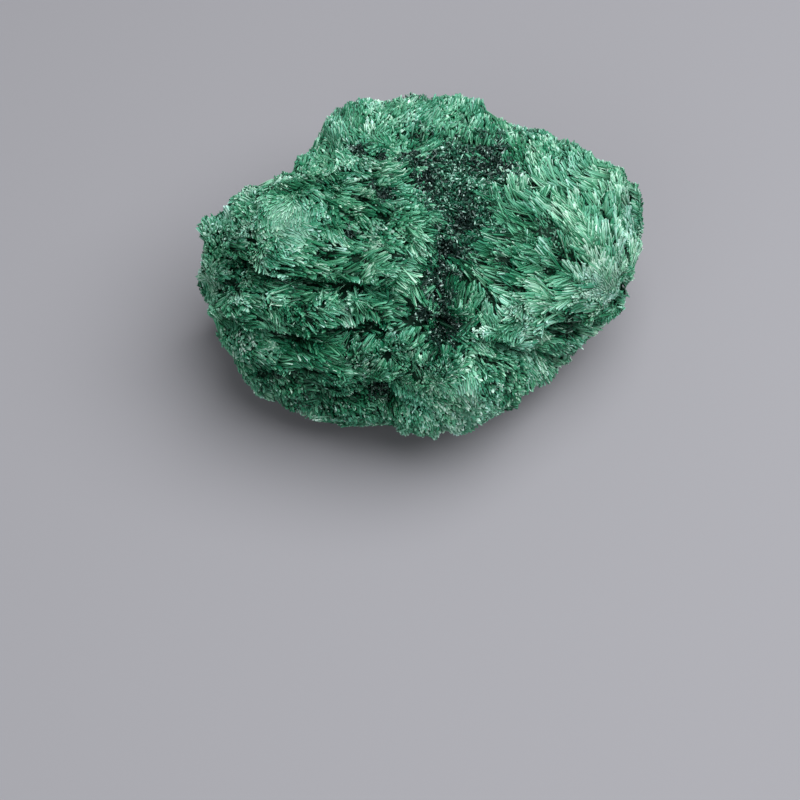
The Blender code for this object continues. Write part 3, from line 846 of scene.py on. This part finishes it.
def seen_directions(pixels):
    """Directions from the centre to where the plain lump is seen at photo positions."""
    across = (pixels[:, 0] - PHOTO_MIDDLE) / FOCAL_PIXELS
    up = (PHOTO_MIDDLE - pixels[:, 1]) / FOCAL_PIXELS
    rays = unit(VIEW_INTO + across[:, None] * VIEW_RIGHT + up[:, None] * VIEW_UP)
    far = (CENTRE - VIEW_POINT) @ rays.T
    near = far - LUMP_REACH
    for _ in range(HALVINGS):
        middle = (near + far) / 2
        offset = VIEW_POINT + rays * middle[:, None] - CENTRE
        distance = np.linalg.norm(offset, axis=1)
        outside = distance > lump_radius(offset / distance[:, None])
        near = np.where(outside, middle, near)
        far = np.where(outside, far, middle)
    return unit(VIEW_POINT + rays * near[:, None] - CENTRE)


def ledge_shade(pixels):
    """How deep photo positions lie under a ledge, 0 to 1."""
    deepest = np.zeros(len(pixels))
    for depth, reach, points in LEDGES:
        deepest = np.maximum(deepest, ledge_drop(pixels, depth, reach * 0.8, points) / depth)
    return deepest


def ground_facts(directions):
    """What a fibre needs to know about the ground where it ends, one row for each direction."""
    radii = lump_radius(directions)
    plain = CENTRE + directions * radii[:, None]
    plain_normals = lump_normals(directions)
    normals = normals_of(surface_points, directions, step=0.014)
    outward = unit(0.65 * normals + 0.35 * plain_normals)
    pixels = photo_position(plain)
    border = 0.05 * ripple(plain, "photo border")
    in_photo = facing_photo(plain, plain_normals) + border > 0.10

    flow, reach = fan_flow(pixels)
    flow, spray = combed(flow, pixels)
    wildness = zone_strength(pixels, ZONES["wild"])
    wild = 1 + 1.3 * wildness
    turn = 0.24 * ripple(plain, "turn") + 0.20 * wild * ripple(plain, "small turn")
    flow = np.column_stack([flow[:, 0] * np.cos(turn) - flow[:, 1] * np.sin(turn),
                            flow[:, 0] * np.sin(turn) + flow[:, 1] * np.cos(turn)])
    in_plane = flow[:, :1] * VIEW_RIGHT + flow[:, 1:] * VIEW_UP
    depth = np.minimum(outward @ VIEW_INTO, -0.3)
    photo_way = in_plane - (dot(in_plane, outward) / depth)[:, None] * VIEW_INTO
    back_way, owner = back_flow(directions, radii)
    heading = square_to(np.where(in_photo[:, None], photo_way, back_way), outward)
    photo_part = in_photo.astype(float)
    cell_tone = np.random.default_rng(CELL_SEED).uniform(-0.07, 0.07, BACK_FANS)[owner]
    facts = {"place": surface_points(directions), "outward": outward, "heading": heading,
             "spray": spray * photo_part, "in_photo": photo_part, "reach": reach,
             "shade": ledge_shade(pixels) * photo_part,
             "patch": ripple(plain, "patch"), "hue": ripple(plain, "hue"),
             "cell": cell_tone * (1 - photo_part), "edge": ripple(plain, "edge")}
    for name, zones in ZONES.items():
        facts[name] = zone_strength(pixels, zones) * photo_part
    facts["crisp"] = np.maximum(facts["crisp"], facts["spray"])
    facts["slit"] = np.where(in_photo, near_slits(pixels), FAR)
    # Fibres that would reach back over a slit are kept short: how far each may reach, in mm
    facts["free"] = np.full(len(pixels), LONGEST)
    for behind in range(30, 2, -4):
        crossed = near_slits(pixels - behind * flow * [1.0, -1.0]) < SLIT_REACH
        most = (behind - SLIT_REACH) * PIXEL_MM
        facts["free"] = np.where(crossed & in_photo, most, facts["free"])
    rise = facts["rise"] + 0.08 * facts["edge"]
    facts["rise"] = smooth_step((rise - 0.45) / 0.16) * photo_part
    facts["calm"] = calm_ground(pixels, plain)[0] * photo_part
    return facts


def chosen(facts, which):
    """The rows of the facts with the given numbers."""
    return {name: values[which] for name, values in facts.items()}


def by_side(facts, seen, hidden):
    """The first value where the photo sees the ground, the second elsewhere."""
    return np.where(facts["in_photo"] > 0, seen, hidden)


def tree_of(places):
    """A search tree of numbered places."""
    tree = KDTree(len(places))
    for number, place in enumerate(places):
        tree.insert(place, number)
    tree.balance()
    return tree


def spread_out(facts, along, across):
    """The rows of facts kept so that no place lies in the oval round an earlier one, and a
    list that is true for the rows left out."""
    places = facts["place"]
    tree = tree_of(places)
    along = np.broadcast_to(along, len(places))
    across = np.broadcast_to(across, len(places))
    aside = np.cross(facts["outward"], facts["heading"])
    free = np.ones(len(places), dtype=bool)
    kept = []
    for number in range(len(places)):
        if not free[number]:
            continue
        kept.append(number)
        near = np.array([found[1] for found in tree.find_range(places[number], along[number])])
        offset = places[near] - places[number]
        run = offset @ facts["heading"][number] / along[number]
        wide = offset @ aside[number] / across[number]
        free[near[run ** 2 + wide ** 2 < 1.0]] = False
    left = np.ones(len(places), dtype=bool)
    left[kept] = False
    return chosen(facts, np.array(kept)), left


def add_sheaves(facts, chance):
    """Parts the ground in sheaves, whose bundles lie side by side and rise towards their end."""
    heads = spread_out(facts, by_side(facts, *SHEAF_LENGTH), by_side(facts, *SHEAF_WIDTH))[0]
    number = len(heads["place"])
    tree = tree_of(heads["place"])
    near = np.array([[found[1] for found in tree.find_n(place, NEAR_SHEAVES)]
                     for place in facts["place"]])
    offset = facts["place"][:, None, :] - heads["place"][near]
    aside = np.cross(heads["outward"], heads["heading"])
    run = (offset * heads["heading"][near]).sum(axis=2) / (SHEAF_LENGTH[0] / 2)
    wide = (offset * aside[near]).sum(axis=2) / (SHEAF_WIDTH[0] / 2)
    apart = np.hypot(run, wide)
    order = np.argsort(apart, axis=1)
    rows = np.arange(len(near))
    owner = near[rows, order[:, 0]]
    facts["run"] = np.clip(run[rows, order[:, 0]], -1.2, 1.2)
    facts["seam"] = apart[rows, order[:, 1]] - apart[rows, order[:, 0]]
    facts["grade"] = chance.normal(size=number)[owner]
    facts["girth"] = chance.uniform(0.65, 1.3, number)[owner]
    level = chance.uniform(-1.0, 1.0, number)[owner]
    heading = 0.55 * heads["heading"][owner] + 0.45 * facts["heading"]
    turn = np.radians(7 + 7 * heads["wild"][owner]) * chance.normal(size=number)[owner]
    heading = heading + np.tan(turn)[:, None] * np.cross(facts["outward"], heading)
    facts["heading"] = square_to(heading, facts["outward"])
    lift = 0.45 * level + 0.42 * facts["run"] + 0.30 * facts["patch"]
    facts["lift"] = (1 - 0.8 * facts["pale"]) * lift + 1.2 * facts["rise"]


def ledge_edges():
    """Directions to places close above the ledges, where fibres end over the drop."""
    pixels = []
    for _, _, points in LEDGES:
        corners = np.array(points, dtype=float)
        for start, end in zip(corners[:-1], corners[1:]):
            count = int(np.hypot(*(end - start)) / EDGE_APART)
            share = (np.arange(count) + 0.5) / count
            pixels.append(start + (end - start) * share[:, None])
    return seen_directions(np.concatenate(pixels))


def wedge_triangles(ribs):
    """Corner numbers of one wedge: two root corners, then a row of tip corners and one of feet."""
    tip, foot, half = 2, 2 + ribs, (ribs - 1) // 2
    faces = [(0, 1, tip + half), (1, 0, foot + half)]
    for rib in range(ribs - 1):
        root = 0 if rib < half else 1
        faces.append((root, tip + rib + 1, tip + rib))
        faces.append((root, foot + rib, foot + rib + 1))
        faces.append((tip + rib, tip + rib + 1, foot + rib + 1))
        faces.append((tip + rib, foot + rib + 1, foot + rib))
    last = ribs - 1
    faces += [(0, tip, foot), (1, foot + last, tip + last)]
    return np.array(faces)


def wedges(ribs, tips, roots, outward, chance, **form):
    """Corners and palette places of wedges that widen from their roots to ragged tips. Of the
    form, width and thick are sizes, ragged and point are how far the tips stand back by chance
    and at the sides, root_share is the root's width, and tone and row are for the palette."""
    count = len(tips)
    form = {name: np.broadcast_to(value, count)[:, None]
            for name, value in {**PLAIN_FORM, **form}.items()}
    way = unit(tips - roots)
    top = square_to(outward, way)
    edge = np.cross(way, top)
    roll = form["roll"][:, 0] * chance.normal(size=count)
    edge, top = turned(edge, top, roll), turned(top, -edge, roll)
    half = form["width"] / 2
    place = np.linspace(-1.0, 1.0, ribs)
    zigzag = np.where(np.arange(ribs) % 2 == 0, -0.5, 0.5)
    high = form["ridge"] * (zigzag + 0.7 * chance.normal(size=(count, ribs)))
    high = high - form["camber"] * half * place ** 2
    short = (form["ragged"] * chance.random((count, ribs))
             + form["point"] * form["width"] * np.abs(place) ** 1.5)
    way, beside, above = way[:, None, :], edge[:, None, :], top[:, None, :]
    tip_row = (tips[:, None, :] + beside * (half * place)[:, :, None]
               + above * high[:, :, None] - way * short[:, :, None])
    thick = form["thick"][:, :, None]
    inset = beside * (0.15 * half * place)[:, :, None]
    foot_row = tip_row - thick * above - inset - way * (0.5 * thick)
    spread = edge * (half * form["root_share"])
    root_row = np.stack([roots - spread, roots + spread], axis=1)
    corners = np.concatenate([root_row, tip_row, foot_row], axis=1)
    corners[:, :, :2] += OVER_ORIGIN

    lines = form["lines"] * chance.normal(size=(count, ribs))
    tones = np.concatenate([np.zeros((count, 2)), lines, lines], axis=1) + form["tone"]
    along = np.array([ROOT_ALONG] * 2 + [TIP_ALONG] * ribs + [FOOT_ALONG] * ribs)
    maps = np.stack([np.clip(tones, *TONE_RANGE), (form["row"] + along) / HUE_COUNT], axis=2)
    return corners, maps


def surface_under(points):
    """Places of the finished surface in the directions of the given points."""
    return surface_points(unit(points - CENTRE))


def kept_under(points, depth):
    """The points, moved towards the centre where they would lie less deep than given, in mm."""
    offset = points - CENTRE
    far = np.linalg.norm(offset, axis=1)
    ground = np.linalg.norm(surface_under(points) - CENTRE, axis=1)
    return CENTRE + offset * (np.minimum(far, ground - depth) / far)[:, None]


def rooted(tips, facts, length, sink):
    """Roots for fibres that lie along the ground and end at the tips."""
    heading, outward = facts["heading"], facts["outward"]
    roots = surface_under(tips - heading * length[:, None]) - outward * sink[:, None]
    # Fibres that would bridge a hollow are made short
    middle = (tips + roots) / 2
    gap = dot(surface_under(middle) - middle, outward)
    bridging = np.abs(gap - sink / 2) > BRIDGE_GAP
    shorter = surface_under(tips - heading * (0.45 * length)[:, None]) - outward * sink[:, None]
    return np.where(bridging[:, None], shorter, roots)


def base_tone(facts, chance):
    """Light and dark of fibres by zone, with a little chance in it: partly their own tone, partly
    painted shade under ledges, at sheaf roots and near slits, and painted light on raised sheaves.
    """
    tone = MIDDLE_TONE + SLIT_SHADE_SHARE * np.exp(-(facts["slit"] / SLIT_FADE) ** 2)
    for name, share in TONE_SHARES.items():
        tone += share * facts[name]
    uneven = UNEVEN_TONE[0] - UNEVEN_TONE[1] * facts["pale"]
    return np.minimum(tone + uneven * chance.normal(size=len(tone)), PALEST)


def hue_rows(facts, chance):
    """Palette row of each fibre: 0 to 2 from cool to warm green, 3 grey."""
    count = len(facts["hue"])
    rows = np.where(facts["hue"] + 0.8 * chance.normal(size=count) > 0.6, 2, 1)
    rows = np.where(facts["hue"] + 0.8 * chance.normal(size=count) < -0.8, 0, rows)
    grey = chance.random(count) < 0.75 * facts["crust"]
    return np.where(grey, 3, rows)


def usual_length(facts):
    """Length of bundles in mm: longer in the photo's larger fans, shorter where tangled."""
    length = np.clip(0.34 * facts["reach"] * PIXEL_MM, *BUNDLE_LENGTHS)
    return by_side(facts, length * (1 - 0.35 * facts["wild"]), HIDDEN_BUNDLE_LENGTH)


def bundles(facts, layer, chance):
    """Bundles of fibres grown side by side, the ground layer or those that lie on it."""
    count = len(facts["place"])
    pale = facts["pale"]
    length = usual_length(facts) * chance.uniform(0.75, 1.3, count)
    length = length * (1 + 0.2 * facts["crisp"] - 0.4 * facts["spray"])
    raised = -0.05 + 0.40 * layer * chance.random(count) + 0.45 * facts["spray"] + facts["lift"]
    raised += (1 - 0.8 * pale) * 0.14 * chance.normal(size=count)
    length = np.minimum(length, facts["free"])
    tips = facts["place"] + facts["outward"] * raised[:, None]
    roots = rooted(tips, facts, length, 0.45 + 0.35 * chance.random(count))
    form = {"width": facts["width"] * chance.uniform(0.85, 1.15, count),
            "thick": chance.uniform(0.75, 1.15, count) * (1 - 0.6 * pale),
            "ragged": chance.uniform(0.3, 1.2, count) * (1 - 0.3 * pale),
            "point": chance.uniform(0.2, 1.5, count) * (1 - 0.4 * pale),
            "tone": base_tone(facts, chance), "row": hue_rows(facts, chance)}
    return wedges(BUNDLE_RIBS, tips, roots, facts["outward"], chance, **form,
                  ridge=0.16 * (1 - 0.6 * pale), camber=0.22 * (1 - 0.8 * pale),
                  roll=0.34 * (1 - 0.8 * pale), root_share=0.62, lines=0.13)


def needles(facts, chance):
    """Single needles that stand out a little from the ends and sides of the bundles."""
    count = len(facts["place"])
    outward, heading, pale = facts["outward"], facts["heading"], facts["pale"]
    aside = np.cross(outward, heading)
    heading = turned(heading, aside, np.radians(9) * chance.normal(size=count))
    shift = aside * (facts["width"] * chance.uniform(-0.55, 0.55, count))[:, None]
    ahead = heading * chance.uniform(-1.3, 0.55, count)[:, None]
    raised = 0.15 + 0.14 * chance.normal(size=count) - 0.2 * pale + facts["lift"]
    tips = facts["place"] + shift + ahead + outward * raised[:, None]
    length = chance.uniform(0.45, 0.95, count) * usual_length(facts) * (1 - 0.25 * pale)
    length = np.minimum(length, facts["free"])
    sink = 0.30 + 0.2 * chance.random(count)
    roots = rooted(tips, {**facts, "heading": heading}, length, sink)
    tone = base_tone(facts, chance) + 0.06 + 0.07 * chance.normal(size=count)
    kind = chance.random(count)
    # The few bright needles are painted glints
    painted_glint = kind < 0.03 + 0.03 * facts["crisp"]
    # Needles darker and narrower than the rest are painted shade between the fibres
    shade_line = kind > 0.80
    tone = np.where(painted_glint, 0.82, tone - 0.24 * shade_line * (1 - 0.3 * pale))
    width = chance.uniform(0.22, 0.50, count) * (1 - 0.25 * shade_line)
    return wedges(NEEDLE_RIBS, tips, roots, outward, chance, tone=tone,
                  width=np.where(painted_glint, PAINTED_GLINT_WIDTH, width),
                  thick=chance.uniform(0.2, 0.4, count), ridge=0.09,
                  ragged=chance.uniform(0.1, 0.4, count), point=0.6, root_share=0.5,
                  row=hue_rows(facts, chance))


def grains(facts, chance):
    """Short ends of fibres that point almost every way, where the ground is fine and rough."""
    count = len(facts["place"])
    outward, heading, calm = facts["outward"], facts["heading"], facts["calm"]
    rough = 1 - 0.8 * calm
    turn = np.radians(38) * rough * chance.normal(size=count)
    lean = turned(heading, np.cross(outward, heading), turn)
    lean = unit(lean + outward * (rough * chance.uniform(0.0, 0.55, count))[:, None])
    length = chance.uniform(0.9, 2.2, count) * (1 + calm)
    clump = ripple(facts["place"], "grains")
    uneven = 0.30 * clump + 0.20 * facts["patch"] + 0.12 * chance.normal(size=count)
    raised = 0.10 + 1.2 * facts["rise"] + rough * uneven
    tips = facts["place"] + outward * raised[:, None] + lean * 0.3
    roots = kept_under(tips - lean * length[:, None] - outward * 0.25, 0.35 - 0.35 * calm)
    tone = base_tone(facts, chance) + rough * (0.01 + 0.12 * clump)
    tone += (0.065 - 0.02 * calm) * chance.normal(size=count) - 0.03 * calm
    # The few bright short ends are painted glints
    painted_glint = chance.random(count) < 0.04 * rough
    width = chance.uniform(0.30, 0.85, count) * (1 - 0.5 * calm)
    return wedges(NEEDLE_RIBS, tips, roots, outward, chance,
                  width=np.where(painted_glint, 0.25, width), tone=np.where(painted_glint, 0.86, tone),
                  thick=chance.uniform(0.3, 0.6, count) * (1 - 0.5 * calm),
                  ragged=chance.uniform(0.05, 0.3, count), roll=0.5 * rough,
                  point=chance.uniform(0.2, 1.0, count), root_share=0.7,
                  row=hue_rows(facts, chance))


def depths(facts, chance):
    """Dark needle ends deep in the gaps and under the ledges, whose dark tone is painted shade."""
    count = len(facts["place"])
    way = unit(facts["heading"] + 0.6 * chance.normal(size=(count, 3)))
    tips = facts["place"] - facts["outward"] * chance.uniform(0.5, 1.0, count)[:, None]
    roots = surface_under(facts["place"] - way * chance.uniform(1.0, 2.2, count)[:, None])
    roots = kept_under(roots - facts["outward"], 0.9)
    return wedges(NEEDLE_RIBS, tips, roots, facts["outward"], chance,
                  width=chance.uniform(0.35, 0.8, count), thick=0.4,
                  ragged=chance.uniform(0.1, 0.4, count), roll=0.4, point=0.6,
                  root_share=0.6, tone=0.20 + 0.10 * chance.normal(size=count), lines=0.04,
                  row=hue_rows(facts, chance))


def crystals(facts, chance):
    """Short blackish crystals at every angle, which line the basin."""
    count = len(facts["place"])
    lean = unit(0.6 * facts["outward"] + unit(chance.normal(size=(count, 3))))
    length = chance.uniform(0.9, 2.4, count)
    raised = chance.uniform(-0.5, 0.4, count)
    tips = facts["place"] + facts["outward"] * raised[:, None] + lean * (0.4 * length)[:, None]
    roots = kept_under(tips - lean * length[:, None], 0.2)
    clump = ripple(facts["place"], "crystals")
    frost = np.clip(facts["frost"] + 0.25 * clump - 0.1, 0.0, 1.0)
    black = np.clip(facts["black"] + 0.25 * clump - 0.8 * frost, 0.0, 1.0)
    # The few pale crystals are painted glints, more of them where there is frost
    painted_glint = chance.random(count)
    tone = 0.30 - 0.26 * black + 0.17 * frost + 0.10 * (1 - black) * chance.normal(size=count)
    tone = np.where(painted_glint < 0.12 - 0.06 * black + 0.15 * frost, 0.75 + 0.12 * frost, tone)
    tone += 0.04 * chance.normal(size=count)
    across = unit(chance.normal(size=(count, 3)))
    return wedges(NEEDLE_RIBS, tips, roots, across, chance, tone=tone,
                  width=chance.uniform(0.22, 0.60, count),
                  thick=chance.uniform(0.25, 0.5, count),
                  ragged=chance.uniform(0.05, 0.3, count), point=0.2, root_share=0.8,
                  row=np.where(chance.random(count) < 0.06 + 0.30 * black, 3, 1))


def make_pieces(name, ribs, layers, material):
    """Pieces of wedges, parted by their side of the lump so that none is too large."""
    shape = wedge_triangles(ribs)
    corners, maps = (np.concatenate(kind) for kind in zip(*layers))
    above = corners[:, :, 2].min(axis=1) > CLEARANCE
    corners, maps = corners[above], maps[above]
    azimuth = np.arctan2(corners[:, 0, 1], corners[:, 0, 0])
    order = np.argsort(azimuth, kind="stable")
    count = math.ceil(len(order) * len(shape) / PIECE_LIMIT)
    for number, part in enumerate(np.array_split(order, count)):
        starts = corners.shape[1] * np.arange(len(part))
        faces = (shape[None] + starts[:, None, None]).reshape(-1, 3)
        flat = maps[part].reshape(-1, 2)
        make_mesh("%s_%d" % (name, number + 1), corners[part].reshape(-1, 3), faces,
                  flat[faces.ravel()], material, False)


def ground_kinds(facts, chance):
    """Where the ground is basin, where it is rough with grains, and where it has a gap."""
    count = len(facts["place"])
    hidden = facts["in_photo"] < 0.5
    druse = np.where(facts["druse"] > 0.12, facts["druse"] + 0.24 * facts["edge"], 0.0)
    druse += smooth_step((ripple(facts["place"], "hidden basin") - 1.5) / 0.4) * hidden
    basin = druse + 0.08 * chance.normal(size=count) > BASIN_LEVEL
    wide = by_side(facts, *[chance.uniform(*widths, count) for widths in BUNDLE_WIDTHS])
    slim = 1 - 0.12 * facts["pale"] - 0.15 * facts["wild"]
    facts["width"] = wide * facts["girth"] * slim * (1 - 0.5 * facts["crisp"])
    fine = np.maximum(facts["fine"] - 0.6 * facts["crisp"], facts["calm"])
    far_side = smooth_step(ripple(facts["place"], "hidden grains") - 0.2) * hidden
    fine = np.maximum(fine, far_side)
    fine = fine + 0.20 * facts["edge"] + 0.07 * chance.normal(size=count)
    rough = (fine > FINE_LEVEL) & ~basin
    gap = (facts["seam"] < 0.12 + 0.12 * facts["crisp"]) & (chance.random(count) < 0.75)
    gap = gap & (facts["pale"] < 0.6) & (~hidden | (chance.random(count) < 0.3))
    return basin, rough, gap | (facts["slit"] < SLIT_PIXELS)


def make_fibres(triangles, points, normals):
    """Bundles, needles and crystals over the whole lump."""
    chance = np.random.default_rng(SEED)
    middles = points[triangles].mean(axis=1)
    facing = facing_photo(middles, normals[triangles].mean(axis=1))
    weights = np.where(facing > 0.0, *TRIES_SHARE) * (middles[:, 2] > LEAST_HEIGHT)
    tried = sample_surface(points, triangles, TRIES, chance, weights)
    tried = tried[chance.permutation(TRIES)]
    edges = ledge_edges()
    directions = np.concatenate([edges[chance.permutation(len(edges))], unit(tried - CENTRE)])
    facts = ground_facts(directions)
    add_sheaves(facts, chance)
    basin, rough, gap = ground_kinds(facts, chance)

    stone = chosen(facts, ~basin & ~rough & ~gap)
    loose = 0.72 + 0.25 * stone["crisp"] + 0.14 * chance.random(len(stone["place"])) ** 2
    apart = np.clip(0.58 * usual_length(stone), *BUNDLES_APART)
    apart = by_side(stone, apart, HIDDEN_BUNDLES_APART)
    ground, left = spread_out(stone, apart, loose * stone["width"])
    rest = chosen(stone, np.flatnonzero(left))
    upper = spread_out(rest, by_side(rest, *UPPER_APART), 1.5 * rest["width"])[0]
    layers = [bundles(ground, 0.0, chance), bundles(upper, 1.0, chance)]
    silky = fibre_material("malachite_needles", NEEDLE_TONES, roughness=0.36, specular=0.58,
                           sheen_colour=(0.55, 1.0, 0.79))
    make_pieces("malachite_bundles", BUNDLE_RIBS, layers, silky)

    both = {name: np.concatenate([ground[name], upper[name]]) for name in ground}
    each = np.where(both["crisp"] > 0.5, NEEDLES_EACH[1], by_side(both, *NEEDLES_EACH))
    single = needles(chosen(both, np.repeat(np.arange(len(each)), each)), chance)
    dark = chosen(facts, np.flatnonzero(basin))
    lining = crystals(spread_out(dark, CRYSTALS_APART, CRYSTALS_APART)[0], chance)
    short = chosen(facts, np.flatnonzero(rough & (facts["slit"] > GRAIN_SLIT_PIXELS)))
    apart = [least + more * short["calm"] for least, more in (GRAINS_ALONG, GRAINS_ACROSS)]
    short = grains(spread_out(short, *apart)[0], chance)
    low = gap | (facts["shade"] > DEEP_SHADE) | (facts["dark"] > DEEP_DARK)
    low = chosen(facts, np.flatnonzero((low | (facts["in_photo"] < 0.5)) & ~basin))
    low = spread_out(low, by_side(low, *DEPTHS_ALONG), by_side(low, *DEPTHS_ACROSS))[0]
    small = [single, short, depths(low, chance)]
    glassy = fibre_material("malachite_crystals", CRYSTAL_TONES, roughness=0.32, specular=0.58,
                            sheen_colour=(0.68, 1.0, 0.90))
    make_pieces("malachite_crystals", NEEDLE_RIBS, [lining], glassy)
    make_pieces("malachite_needles", NEEDLE_RIBS, small, silky)


def make_stage():
    """Floor, lights and camera."""
    scene = bpy.context.scene
    bpy.ops.mesh.primitive_circle_add(vertices=96, radius=FLOOR_RADIUS, fill_type="NGON")
    floor = bpy.context.object
    floor.name = "floor"
    material, _, _, surface = new_material("floor_grey")
    surface.inputs["Base Color"].default_value = FLOOR_COLOUR
    surface.inputs["Roughness"].default_value = 0.8
    surface.inputs["Specular IOR Level"].default_value = 0.2
    floor.data.materials.append(material)
    world = bpy.data.worlds.new("studio")
    scene.world = world
    world.use_nodes = True
    sky = world.node_tree.nodes["Background"]
    sky.inputs["Color"].default_value = SKY_COLOUR
    sky.inputs["Strength"].default_value = SKY_STRENGTH
    for name, place, size, power in LIGHTS:
        data = bpy.data.lights.new(name, "AREA")
        data.shape = "DISK"
        data.size = size
        data.energy = power
        lamp = bpy.data.objects.new(name, data)
        scene.collection.objects.link(lamp)
        lamp.location = place
        way = Vector(LIT_POINT) - lamp.location
        lamp.rotation_euler = way.to_track_quat("-Z", "Y").to_euler()
    lens = bpy.data.cameras.new("camera")
    lens.lens = LENS
    lens.sensor_width = SENSOR_WIDTH
    camera = bpy.data.objects.new("camera", lens)
    scene.collection.objects.link(camera)
    eye = (VIEW_POINT + np.array([*OVER_ORIGIN, 0.0])) * MM
    turn_and_place = np.column_stack([VIEW_RIGHT, VIEW_UP, -VIEW_INTO, eye])
    camera.matrix_world = Matrix([*turn_and_place.tolist(), [0, 0, 0, 1]])
    scene.camera = camera
    scene.view_settings.view_transform = "Standard"


ball_directions, ball_triangles = fine_ball()
skin = surface_points(ball_directions)
skin_normals = vertex_normals(skin, ball_triangles)
make_core(ball_directions, ball_triangles, skin, skin_normals)
make_fibres(ball_triangles, skin, skin_normals)
make_stage()
